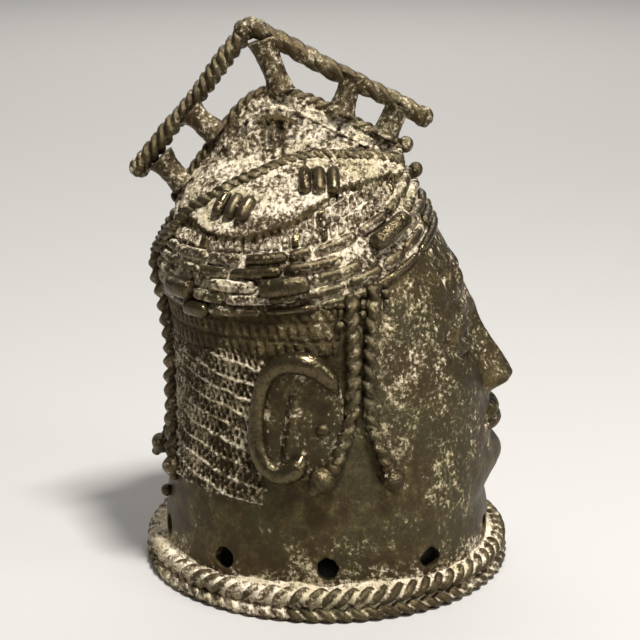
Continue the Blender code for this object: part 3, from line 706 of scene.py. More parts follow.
def make_base(material):
    """The flange: a sloping sandy ledge with a rope on its edge and another below it."""
    sizes, ropes = bpy.context.scene.brass_head, bpy.context.scene.brass_ropes
    angle = np.linspace(0, TAU, SHELL_COLUMNS, endpoint=False)
    top = edge_height(ropes) + ropes.edge_rope * 0.35
    inner = sizes.collar_radius - sizes.wall * 0.6
    behind = 0.5 + 0.5 * np.sin(angle + 0.5)
    spots = np.stack([np.cos(angle), np.sin(angle), 0 * angle], -1)
    to_hole = (angle * sizes.hole_count / TAU + 0.5) % 1 - 0.5
    climb = ropes.ledge_rise * (1.0 + 0.35 * lattice_noise(spots, 0.28, 5) + 0.7 * behind**4)
    climb = climb * (1 - 0.62 * bump(to_hole / 0.17))
    down = np.linspace(0, 1, 14)[:, None]
    reach = sizes.collar_radius - 0.0012 + (ropes.edge_ring - sizes.collar_radius + 0.0012) * down
    height = top + climb[None, :] * (1 - down) ** 1.5
    ground = ropes.ground_ring
    under = [(ropes.edge_ring, edge_height(ropes)), (ground, ropes.ground_rope), (ground, 0.0), (inner, 0.0)]
    rows = [np.stack([reach * np.cos(angle), reach * np.sin(angle), height], -1)]
    for r, z in under:
        rows.append(np.stack([r * np.cos(angle), r * np.sin(angle), 0 * angle + z], -1)[None])
    rows.append(np.stack([inner * np.cos(angle), inner * np.sin(angle), top + climb], -1)[None])
    profile = np.concatenate(rows)
    wax = Wax()
    sand = np.full(profile.shape[:2], BURIED)
    first = wax.add(profile, sand, 0)
    wax.quads.append(grid_faces(*profile.shape[:2], first, closed=True, flip=True))
    columns = len(angle)
    last = first + (len(profile) - 1) * columns
    ring = np.arange(columns)
    after = (ring + 1) % columns
    wax.quads.append(np.stack([last + ring, first + ring, first + after, last + after], -1))
    ledge = wax.make("base_ledge", material)
    roughen(ledge, 2.2, 21, 0.5)
    pieces = [ledge]
    for name, ring, z, radius, hand, seed in (
        ("base_ground_rope", ground, ropes.ground_rope - 0.0006, ropes.ground_rope * 0.955, -1, 31),
        ("base_edge_rope", ropes.edge_ring, edge_height(ropes), ropes.edge_rope, 1, 32),
    ):
        line = np.stack([ring * np.cos(angle), ring * np.sin(angle), 0 * angle + z], -1)
        out = np.stack([np.cos(angle), np.sin(angle), 0 * angle], -1)
        rope = Wax()
        rings, deep = rope_rings(
            line, out, radius, ropes.base_lobe, hand, 32, closed=True, seed=seed, count_of=2
        )
        rings[..., 2] = np.maximum(rings[..., 2], 0.0)
        drift = 0.50 * lattice_noise(rings, 0.034, seed + 1) + 0.62 * step(rings[..., 1] - 0.030, 0.012)
        drift = drift + 0.30 * step(-0.055 - rings[..., 1], 0.01)
        rope.tube(rings, 0.14 + drift + 0.80 * deep**2, 0.45 * (1 - deep), closed=True)
        piece = rope.make(name, material)
        roughen(piece, 1.0, seed + 2)
        pieces.append(piece)
    return pieces


def make_hair(material):
    """Cropped hair from temple to temple: blocks under the cap, then a net of slanting rows."""
    sizes = bpy.context.scene.brass_head
    columns, rows = HAIR_GRID
    a = np.radians(np.linspace(76, 284, columns))[None, :] + np.zeros((rows, 1))
    z = np.linspace(0.054, 0.1745, rows)[:, None] + 0 * a
    skin = head_point(a, z)
    y = skin[..., 1]
    run = np.abs(a - math.pi) * sizes.collar_radius * 0.93
    wander = 0.0012 * lattice_noise(skin, 0.011, 51) + 0.0006 * lattice_noise(skin, 0.004, 52)
    ragged = 0.0018 * lattice_noise(skin, 0.006, 53)
    upper = step(z - TUFT_LINE - 0.003 * np.sin(run * 90), 0.0008)
    cords, blocks = hair_net(run + wander, z + wander), hair_blocks(run + wander, z + 0.6 * wander)
    relief = cords * (1 - upper) + blocks * upper
    net_here = step(y - 0.0345 + ragged, 0.0008) * step(z - 0.0625 + ragged, 0.0008)
    net_here = net_here * step(run - 0.012, 0.0008)
    here = np.maximum(net_here, upper * step(y + 0.0075 + ragged, 0.0008))
    proud = here * (0.0005 + relief) - (1 - here) * 0.0012
    # Crust follows the height of the cords and tufts, so raised tops read pale and gaps stay dark metal:
    # partly crust, partly painted light on the tops and painted shade in the gaps
    sand = -0.04 + (0.24 + 0.66 * cords / NET_RISE) * (1 - upper) + 0.10 * blocks / TUFT_RISE * upper
    sand = sand + 0.14 * lattice_noise(skin, 0.02, 55)
    wax = Wax()
    lay_patch(wax, a, z, proud, sand)
    hair = wax.make("hair_net", material)
    roughen(hair, 1.5, 56, 0.6)
    return hair


def hair_blocks(run, z):
    """Upright oblong tufts in two rows under the cap, staggered from row to row."""
    row = (z - TUFT_LINE) / 0.0100
    shift = 0.5 * (np.floor(row) % 2)
    across = np.abs(((run / 0.0056 + shift) % 1) - 0.5) * 2
    along = np.abs((row % 1) - 0.5) * 2
    return TUFT_RISE * step(0.66 - across, 0.09) * step(0.80 - along, 0.06)


def hair_net(run, z):
    """Slanting cords every few millimetres, with upright stitches between them."""
    row = (z + 0.17 * run) / 0.0094
    cord = bump(((row % 1) - 0.5) / 0.105)
    minor = 0.50 * bump((((row + 0.5) % 1) - 0.5) / 0.10)
    shift = 0.37 * np.floor(row * 2)
    stitch = np.abs(((run / 0.0042 + shift) % 1) - 0.5) * 2
    return NET_RISE * np.maximum(cord, 0.62 * np.maximum(minor, step(0.46 - stitch, 0.10)))


def rim_height(angle):
    """Height of the cap's rim: low at the sides, high over the face."""
    cap = bpy.context.scene.brass_cap
    facing = np.cos(angle / 2) ** 2
    return cap.rim_side + cap.rim_front_rise * facing**2.6 + cap.rim_back_rise * (1 - facing) ** 3


def row_line(angle, row):
    """Points and normals along one row of the cap; rows stand a pitch apart up from the rim."""
    cap = bpy.context.scene.brass_cap
    z = rim_height(angle) + row * cap.pitch
    return head_point(angle, z), head_normal(angle, z)


def make_cap(material, bead_material):
    """The cap: a sandy bed, a field of bars and a ledge on each side, and the beads set on it."""
    made = [make_cap_bed(material), make_cap_fields(material)]
    return made + [make_beads(bead_material), make_accents(bead_material)]


def make_cap_bed(material):
    """The sandy bed under the beads, from the rim to the crown."""
    sizes = bpy.context.scene.brass_head
    columns, rows = CAP_GRID
    angle = np.linspace(0, TAU, columns, endpoint=False)
    rim = rim_height(angle)[None, :]
    up = np.linspace(0, 1, rows)[:, None]
    z = rim - 0.0035 + up * (sizes.head_height - rim + 0.0035)
    a = angle[None, :] + 0 * z
    skin, normal = head_point(a, z), head_normal(a, z)
    rubble = 0.0006 * np.clip(lattice_noise(skin, 0.0032, 61), -0.2, 1)
    rubble = rubble + 0.0004 * lattice_noise(skin, 0.009, 62)
    proud = 0.0006 + rubble - 0.0022 * (1 - step(up - 0.025, 0.006))
    wax = Wax()
    sand = BURIED - 0.18 + 0.16 * lattice_noise(skin, 0.016, 63)
    first = wax.add(skin + proud[..., None] * normal, sand, 0)
    wax.quads.append(grid_faces(rows, columns, first, closed=True))
    behind = np.concatenate([head_point(a[:1], z[:1], 0.0030), head_point(a[-1:], z[-1:] - 0.004, 0.0030)])
    second = wax.add(behind, SANDY, 0)
    wax.quads.append(grid_faces(2, columns, second, closed=True, flip=True))
    ring = np.arange(columns)
    wax.join(second, first, columns)
    wax.caps.append(first + (rows - 1) * columns + ring)
    wax.caps.append((second + columns + ring)[::-1])
    return wax.make("cap_bed", material)


def make_cap_fields(material):
    """On each side, rows of short bars under a ragged ledge, and slanting scores towards the face."""
    cap = bpy.context.scene.brass_cap
    wax = Wax()
    columns, rows = FIELD_GRID
    line_y, line_z = np.array(LEDGE_PATH).T
    for side in (-1, 1):
        a = on_side(side, 20, 168, columns)[None, :] + np.zeros((rows, 1))
        low = rim_height(a[0]) + 4.45 * cap.pitch
        z = low + np.linspace(0, 1, rows)[:, None] * (0.2425 - low)
        skin = head_point(a, z)
        y, over = skin[..., 1], (z - low) / cap.pitch
        run = np.cumsum(np.linalg.norm(np.diff(skin, axis=1, prepend=skin[:, :1]), axis=-1), axis=1)[20]
        wander = 0.0009 * lattice_noise(skin, 0.009, 65) + 0.0004 * lattice_noise(skin, 0.0035, 66)
        above = z + 1.4 * wander - np.interp(y, line_y, line_z)
        ledge = step(above, 0.0005)
        bars, bare = bar_field(run + wander, over + wander / cap.pitch)
        bars, bare = (1 - ledge) * bars, (1 - ledge) * bare
        score_here = step(np.minimum(0.0035 - y - 0.30 * (0.2400 - z), above), 0.0008)
        score = score_here * bump((((y * 0.80 + z * 0.85 + 0.5 * wander) / 0.0036) % 1 - 0.5) / 0.22)
        scratches = np.clip(lattice_noise(skin * (1, 2.6, 1), 0.0042, 67), 0, 1)
        scribble = 0.8 * ledge * (1 - score_here) * scratches
        proud = 0.0003 + 0.0046 * ledge + bars - 0.0010 * score - 0.0013 * scribble
        proud = proud - 0.0030 * (1 - step(over - 0.10, 0.03))
        # The ledge's sloping face gets less crust and reads dark: a painted shadow under the ledge's edge
        sand = 0.58 + 0.16 * ledge - 0.55 * bare - 3.0 * ledge * (1 - ledge)
        sand = sand + 0.20 * lattice_noise(skin, 0.014, 68)
        lay_patch(wax, a, z, proud, sand, bare)
    fields = wax.make("cap_fields", material)
    roughen(fields, 2.0, 69, 0.8)
    return fields


def bar_field(run, over):
    """Short bars by distance along the cap and rows above its beads, and where the few bare ones are."""
    row = over / 1.12
    shift = 0.43 * np.floor(row)
    across = np.abs(((run / BAR_PITCH + shift) % 1) - 0.5) * 2
    along = np.abs((row % 1) - 0.5) * 2
    rise = step(0.70 - across, 0.07) * step(0.84 - along, 0.05)
    dark = np.random.default_rng(70).random((97, 89)) > 0.86
    place = (np.floor(run / BAR_PITCH + shift).astype(int) % 97, np.floor(row).astype(int) % 89)
    return BAR_RISE * rise, rise * dark[place]


def make_beads(material):
    """Rows of tubular beads: each bead is a rounded rod bent along its row, of its own length."""
    cap = bpy.context.scene.brass_cap
    chance = np.random.default_rng(71)
    stations = np.linspace(0, 1, 15)
    wax = Wax()
    for row in range(cap.rows):
        fine = np.linspace(0, TAU, 721)
        points, _ = row_line(fine, row)
        run = np.r_[0, np.cumsum(np.linalg.norm(np.diff(points, axis=0), axis=1))]
        mean = cap.bead_length * (1.35 if row == 0 else 1.0)
        parts = chance.uniform(0.55, 1.45, int(run[-1] / mean))
        ends = np.r_[0, np.cumsum(parts)] / parts.sum() * run[-1]
        for start, end in zip(ends[:-1], ends[1:]):
            at = start + 0.0005 + stations * (end - start - 0.0010)
            middle = np.interp((start + end) / 2, run, fine)
            if any(abs(turned_to(middle, a)) < 13 * k and abs(row - r) < 0.75 for a, r, k in ACCENTS):
                continue
            angle = np.interp(at, run, fine)
            lift, tilt = chance.normal(0, 0.00025), chance.normal(0, 0.045)
            line, normal = row_line(angle, row + tilt * 2 * (stations - 0.5))
            radius = cap.bead * (0.82 if row == 0 else 1.0) * chance.uniform(0.88, 1.12)
            line = line + (0.0012 + lift) * normal
            shares = rounded(len(stations), 4.0)
            polish = 0.9 if chance.random() > 0.80 else 0.15
            sand = chance.uniform(0.50, 0.90) * (1 - polish)
            wax.tube(sweep(line, normal, radius * shares, 16), sand, polish)
    beads = wax.make("cap_beads", material)
    roughen(beads, 1.6, 72)
    return beads


def turned_to(angle, degrees):
    """Degrees between an angle, folded to one side, and a place on the cap."""
    folded = abs((math.degrees(angle) + 180) % 360 - 180)
    return folded - degrees


def make_accents(material):
    """The long beads that stand out of the cap, and the two bundles of tubes on each side."""
    cap = bpy.context.scene.brass_cap
    wax = Wax()
    for side in (-1, 1):
        for degrees, row, long in ACCENTS:
            small = 0.8 if row < 0.5 else 1.0
            half = long * cap.accent_length / (2 * bpy.context.scene.brass_head.collar_radius)
            stations = np.linspace(-1, 1, 21)
            line, normal = row_line(side * (math.radians(degrees) + half * stations), row)
            shares = rounded(len(stations), 5.0)
            around = boxed(np.linspace(0, TAU, 28, endpoint=False))
            line = line + cap.accent * 0.85 * small * normal
            rings = sweep(line, normal, cap.accent * small * shares, 28, around)
            wax.tube(rings, BARE, 1.0)
        for low, high in BUNDLES:
            ends, normals = on_skin((low, high), side, cap.bundle * 1.5)
            across = unit(np.cross(ends[1] - ends[0], normals[0])) * 2.15 * cap.bundle
            stations = np.linspace(0, 1, 15)
            for i in range(3):
                line = ends[0] + np.outer(stations, ends[1] - ends[0]) + (i - 1) * across
                line = line + np.outer(0.0012 * np.sin(stations * math.pi), normals[0])
                facing = np.broadcast_to(normals[0], line.shape)
                shares = rounded(len(stations), 4.0)
                rings = sweep(line, facing, cap.bundle * shares, 16)
                wax.tube(rings, (0.05, 0.45, 0.38)[i], (1.0, 0.4, 0.6)[i])
    accents = wax.make("cap_long_beads", material)
    roughen(accents, 0.4, 74)
    return accents


def crest_top(y):
    """Height of the panel's upper edge at y."""
    return smooth_curve(y, *np.array(CREST_PATH).T)


def gate_relief(y, below):
    """A gate in relief, a lintel over two posts, by depth below the panel's edge."""
    crest = bpy.context.scene.brass_crest
    along = y - GATE_Y
    in_width = step(crest.gate_width / 2 - np.abs(along), 0.0005)
    in_height = step(crest.gate_height / 2 - np.abs(below - GATE_DEPTH - crest.gate_height / 2), 0.0005)
    lintel = in_width * bump((below - GATE_DEPTH) / crest.gate_bar)
    posts = sum(
        bump((along - at * crest.gate_width) / (0.62 * crest.gate_bar)) for at in (-0.27, 0.02, 0.26)
    )
    return crest.gate_rise * np.maximum(lintel, 0.8 * in_height * np.minimum(posts, 1))


def make_crest(material, rope_material):
    """The crest: a rough panel that spreads to the crown ropes, its rope, and two knobs in front."""
    crest = bpy.context.scene.brass_crest
    foot, _ = on_skin(through(CROWN_PATH, 200), 1)
    foot = foot[np.argsort(foot[:, 1])]
    half_top = crest.thickness / 2
    stations, steps = CREST_GRID
    y = np.linspace(CREST_PATH[0][0], CREST_PATH[-1][0], stations)[:, None]
    down = np.linspace(0, 1, steps)[None, :]
    low = np.interp(y, foot[:, 1], foot[:, 2])
    wide = np.maximum(np.interp(y, foot[:, 1], foot[:, 0]), half_top)
    high = crest_top(y)
    z = high + (low - high) * down
    below = high - z
    x = half_top + (wide - half_top) * down**1.5
    spots = np.stack([x, y + 0 * x, z], -1)
    raised = bump((below - 0.0085 - 0.0010 * lattice_noise(spots, 0.02, 81)) / 0.0009) * 0.0012
    ripple = 0.0012 * lattice_noise(spots, 0.0052, 82) + 0.0010 * lattice_noise(spots, 0.0021, 83)
    lumps = 0.0022 * np.clip(lattice_noise(spots, 0.0085, 84) - 0.25, 0, 1) * step(-0.004 - y, 0.004)
    edge = np.minimum(1, np.minimum(down, 1 - down) * 12)
    rise = gate_relief(y + 0 * z, below) + raised + lumps + ripple
    x = x + edge * rise
    right = np.stack([x, y + 0 * x, z], -1)
    under = np.stack([0 * y, y, low - crest.thickness], -1)
    left = right[:, ::-1] * (-1, 1, 1)
    rings = np.concatenate([right, under, left], axis=1)
    wax = Wax()
    gate = np.clip(gate_relief(y + 0 * z, below) / crest.gate_rise, 0, 1)
    over = 0.66 - 0.55 * gate + 0.20 * lattice_noise(spots, 0.013, 88)
    sand = np.concatenate([over, over[:, :1], over[:, ::-1]], axis=1)
    wax.tube(rings[:, ::-1], sand[:, ::-1], 0)
    panel = wax.make("crest_panel", material)
    face_out(panel)
    roughen(panel, 1.6, 85, 0.8)
    line_y = np.linspace(CREST_PATH[0][0] - 0.001, CREST_PATH[-1][0] + 0.001, 60)
    line = np.stack([0 * line_y, line_y, crest_top(line_y)], -1)
    rope = Wax()
    aside = np.broadcast_to((1.0, 0, 0), line.shape)
    rope.rope(0.16, 0.30, 0.4, line, aside, crest.rope, crest.lobe, 1, 30, seed=86)
    for (knob_y, knob_z), size in FRONT_KNOBS:
        rope.lump((0, knob_y, knob_z), np.array([1.1, 0.95, 1.0]) * crest.knob * size, LIGHT, 0.2)
    edging = rope.make("crest_rope", rope_material)
    roughen(edging, 1.2, 87)
    return [panel, edging]


def face_out(piece):
    """Turns a closed piece's faces outwards if its volume comes out negative."""
    mesh = piece.data
    mesh.calc_loop_triangles()
    corners = np.empty(len(mesh.loop_triangles) * 3, np.int32)
    mesh.loop_triangles.foreach_get("vertices", corners)
    points = read(mesh.vertices, "co")[corners].reshape(-1, 3, 3)
    volume = np.einsum("ij,ij->i", points[:, 0], np.cross(points[:, 1], points[:, 2])).sum()
    if volume < 0:
        mesh.flip_normals()
        mesh.update()


def make_gable(material):
    """The gable: two ropes that meet over the crest, each ending in a coil, on five stout posts."""
    crest = bpy.context.scene.brass_crest
    wax = Wax()
    aside = np.array([1.0, 0, 0])
    for end, hand, lobe, worn in ((GABLE_BACK, 1, 1.0, 0.0), (GABLE_FRONT, -1, 1.6, 0.45)):
        line = np.array([(0, *end), (0, *GABLE_APEX)])
        fine = line[0] + np.outer(np.linspace(0, 1, 40), line[1] - line[0])
        fine[:, 2] += 0.0006 * np.sin(np.linspace(0, 3 * math.pi, 40))
        facing = np.broadcast_to(aside, fine.shape)
        size, pitch = crest.gable_rope, crest.lobe * lobe
        rings, deep = rope_rings(fine, facing, size, pitch, hand, 34, seed=90 + hand, worn=worn)
        wax.tube(rings, 0.22 + 0.22 * lattice_noise(rings, 0.02, 97) + 0.25 * deep, 0.3 * (1 - deep))
        coil_turn = np.linspace(0, TAU, 36, endpoint=False)
        reach = crest.gable_rope * 0.56
        inwards = 0.014 * (line[1] - line[0])
        bend = np.stack([0 * coil_turn, np.cos(coil_turn), np.sin(coil_turn)], -1)
        coil = line[0] + inwards + reach * bend
        rings = sweep(coil, np.broadcast_to(aside, coil.shape), crest.gable_rope * 0.50, 18, closed=True)
        wax.tube(rings, SANDY, 0.2, closed=True)
        wax.lump(line[0], crest.gable_rope * np.array([0.45, 0.6, 0.6]), SANDY)
    apex = np.array((0, *GABLE_APEX))
    for shift, size in APEX_LUMPS:
        half_sizes = crest.gable_rope * size * np.array([1.05, 1.1, 0.9])
        wax.lump(apex + shift, half_sizes, LIGHT + 0.1, 0.0, 22, 15)
    for foot, top in STRUTS:
        low, high = np.array((0, *foot)), np.array((0, *top))
        at = np.linspace(0, 1, 24)
        line = low + np.outer(at, high - low)
        flare = 0.95 + 0.34 * np.abs((at - 0.5) / 0.5) ** 2.4 + 0.10 * lattice_noise(line, 0.008, 94)
        facing = np.broadcast_to(aside, line.shape)
        wax.tube(sweep(line, facing, crest.strut * flare, 30), LIGHT + 0.06, 0)
    gable = wax.make("crest_gable", material)
    roughen(gable, 2.2, 95, 0.6)
    return gable


def crown_line(side):
    """Points and normals of the crown rope on one side, from the brow to the nape."""
    ropes = bpy.context.scene.brass_ropes
    return on_skin(through(CROWN_PATH, 90), side, ropes.crown_rope * 1.0)


def nape_line(side):
    """Points and normals of the braid from the crown down the nape. The braids part above their bells."""
    ropes = bpy.context.scene.brass_ropes
    z = np.linspace(0.190, 0.074 if side < 0 else 0.070, 70)
    parting = np.clip((0.116 - z) / 0.042, 0, 1) ** 1.5
    x = ropes.nape_rope * 1.12 + 0.004 * np.clip((0.17 - z) / 0.05, 0, 1)
    x = x + parting * (0.0200 if side < 0 else 0.0)
    front, back, half_width = head_section(z)
    middle, half_depth = (back + front) / 2, (back - front) / 2
    y = middle + half_depth * np.sqrt(1 - (x / half_width) ** 2)
    normal = unit(np.stack([side * x / half_width**2, (y - middle) / half_depth**2, 0 * z], -1))
    return np.stack([side * x, y, z], -1) + normal * ropes.nape_rope * 0.62, normal


def make_braids(material):
    """Crown ropes, nape braids and temple plaits, each braid ending in a knot and a bell."""
    ropes = bpy.context.scene.brass_ropes
    crown, plaits, bells = Wax(), Wax(), Wax()
    for side in (-1, 1):
        line, normal = crown_line(side)
        crown.rope(0.26, 0.30, 0.3, line, normal, ropes.crown_rope, ropes.crown_lobe, side, 26, seed=101)
        over, facing = on_skin(through(BROW_CORD, 50), side)
        over = over + np.array([-side * 0.0030, 0, 0.0050])
        size, pitch = ropes.crown_rope * 0.62, ropes.crown_lobe * 0.8
        rings, deep = rope_rings(over, facing, size, pitch, -side, 20, seed=104)
        crown.tube(rings, 0.40 + 0.2 * deep, 0.1)
        line, normal = nape_line(side)
        size, pitch = ropes.nape_rope, ropes.plait_lobe
        plaits.rope(0.30, 0.10, 0.45, line, normal, size, pitch, side, 30, seed=105, count_of=2)
        lean = (-0.25, -0.05, -1.0) if side < 0 else (0.05, 0.62, -0.9)
        end_bell(bells, line[-1] + 0.0010 * normal[-1], lean, ropes.bell, 1.0)
        if side < 0:
            bells.lump(line[-1] + (0.0060, 0.0058, -0.0270), 0.0035 * np.ones(3), LIGHT, 0.4, 18)
        rear = (side * 0.30, 0.95, -1.0), 1.2
        fore = (side * 0.25, -0.42, -1.0), 1.0
        for path, hand, (lean, larger) in ((REAR_PLAIT, side, rear), (FORE_PLAIT, -side, fore)):
            line, normal = on_skin(through(path, 70), side, ropes.plait * 0.55)
            size, pitch = ropes.plait, ropes.plait_lobe
            plaits.rope(0.30, 0.05, 0.50, line, normal, size, pitch, hand, 30, seed=107, count_of=2)
            end_bell(bells, line[-1], lean, ropes.bell * larger, 0.0)
        tie_lumps(plaits, side)
    made = []
    made_of = (("crown_ropes", crown, 110), ("plaits", plaits, 111), ("braid_bells", bells, 112))
    for name, wax, seed in made_of:
        piece = wax.make(name, material)
        roughen(piece, 1.3, seed)
        made.append(piece)
    return made


def end_bell(wax, end, downward, radius, sand):
    """A knot at a braid's end, and the bell that hangs from it against the skin."""
    down = unit(np.array(downward, float))
    knot = radius * np.array([0.62, 0.62, 0.56])
    wax.lump(end + 0.12 * radius * down, knot, LIGHT, 0.2, 18)
    wax.tube(drop_rings(end + 0.05 * radius * down, down, radius, 0.92, 26), 0.34 + 0.1 * sand, 0.6)


def tie_lumps(wax, side):
    """The knobbly beads that tie the plaits in under the cap."""
    chance = np.random.default_rng(115)
    for row in range(3):
        for i in range(5):
            y = -0.0070 - 0.0062 * i + chance.normal(0, 0.0006)
            z = 0.1640 + 0.0052 * row + 0.34 * (-0.005 - y) + chance.normal(0, 0.0006)
            centre, _ = on_skin([(y, z)], side, 0.0008)
            wax.lump(centre[0], 0.0027 * chance.uniform(0.85, 1.2, 3), LIGHT, 0.3, 12, 9)


def make_ears(material):
    """Each ear: a stout rim curling into a lobe, over a raised plate with an upright ridge and groove."""
    wax = Wax()
    for side in (-1, 1):
        fine = through(EAR_PATH, 130)
        radii = smooth_curve(np.linspace(0, 1, 130), np.linspace(0, 1, len(EAR_RADII)), EAR_RADII)
        line, normal = on_skin(fine, side, 0.0)
        line = line + normal * (radii * 0.45 + 0.0022)[:, None]
        end = np.clip(np.minimum(np.arange(130), np.arange(130)[::-1]) / 7.0, 0.10, 1) ** 0.5
        wax.tube(sweep(line, normal, radii * end, 28), 0.26, 0.85)
        columns, rows = EAR_GRID
        a = on_side(side, 74, 120, columns)[None, :] + np.zeros((rows, 1))
        z = np.linspace(0.073, 0.151, rows)[:, None] + 0 * a
        lay_patch(wax, a, z, ear_plate(head_point(a, z)), LIGHT)
        tragus, _ = on_skin([(0.0025, 0.1063)], side, 0.0026)
        wax.lump(tragus[0], np.array([0.0030, 0.0042, 0.0034]), LIGHT, 0.1, 18, 13)
    ears = wax.make("ears", material)
    roughen(ears, 1.3, 121)
    return ears


def ear_plate(skin):
    """Height of the ear's plate over the skin: an oval step, hollowed behind, with a ridge and a groove."""
    y, z = skin[..., 1], skin[..., 2]
    oval = 1 - np.abs((y - 0.0150) / 0.0236) ** 2.6 - np.abs((z - 0.1120) / 0.0345) ** 2.6
    ridge_y = np.interp(z, (0.0900, 0.0983, 0.1122, 0.1261), (0.0216, 0.0205, 0.0189, 0.0166))
    long = step(np.minimum(z - 0.0905, 0.1270 - z), 0.0012)
    ridge = long * bump((y - ridge_y) / 0.0022)
    groove = long * bump((y - ridge_y - 0.0046) / 0.0012)
    hollow = bump((y - 0.0270) / 0.0075, (z - 0.1130) / 0.0260)
    plate = 0.0030 + 0.0018 * ridge - 0.0014 * groove - 0.0014 * hollow
    plate = plate + 0.0004 * lattice_noise(skin, 0.006, 118)
    return plate * step(oval, 0.02) - 0.0014 * (1 - step(oval, 0.02))


# Old metal: the height of its grain, and the gloss, relief, settling of sand and painted shade in the grooves
# of each finish
GRAIN_HEIGHT = 0.0013
KINDS = {
    "smooth_brass": (0.30, 0.55, 1.0, 0.3),
    "sandy_brass": (0.20, 1.0, 0.2, 0.85),
    "rope_brass": (0.40, 0.80, 0.3, 0.0),
    "braid_brass": (0.50, 0.65, 0.4, 0.7),
    "bead_brass": (0.80, 0.32, 0.8, 0.4),
}


def node(tree, kind, **values):
    """A node with its settings and its unlinked sockets set by name or number."""
    made = tree.nodes.new(kind)
    for key, value in values.items():
        if key == "inputs":
            for socket, setting in value.items():
                if isinstance(setting, bpy.types.NodeSocket):
                    tree.links.new(setting, made.inputs[socket])
                else:
                    made.inputs[socket].default_value = setting
        else:
            setattr(made, key, value)
    return made


def maths(tree, operation, a, b=0.0, clamp=False):
    """A Math node's result."""
    made = node(tree, "ShaderNodeMath", operation=operation, use_clamp=clamp, inputs={0: a, 1: b})
    return made.outputs[0]


def blend(tree, factor, a, b):
    """Colour a turned into colour b by a factor."""
    made = node(tree, "ShaderNodeMix", data_type="RGBA", inputs={0: factor, 6: a, 7: b})
    return made.outputs[2]


def noise(tree, place, scale, detail=4.0, roughness=0.6):
    """Noise from 0 to 1 at a scale in features a metre."""
    settings = {"Vector": place, "Scale": scale, "Detail": detail, "Roughness": roughness}
    return node(tree, "ShaderNodeTexNoise", inputs=settings).outputs[0]


def ramp(tree, value, low, high):
    """A value taken from 0 at low to 1 at high, with soft ends."""
    settings = {"Value": value, "From Min": low, "From Max": high, "To Min": 0.0, "To Max": 1.0}
    made = node(tree, "ShaderNodeMapRange", interpolation_type="SMOOTHSTEP", inputs=settings)
    return made.outputs["Result"]


def group_tree(name, inputs, outputs):
    """A shader node group with those sockets, each a (name, type, default) or (name, type)."""
    tree = bpy.data.node_groups.new(name, "ShaderNodeTree")
    for label, kind, default in inputs:
        socket = tree.interface.new_socket(label, in_out="INPUT", socket_type=kind)
        socket.default_value = default
    for label, kind in outputs:
        tree.interface.new_socket(label, in_out="OUTPUT", socket_type=kind)
    return tree, tree.nodes.new("NodeGroupInput"), tree.nodes.new("NodeGroupOutput")


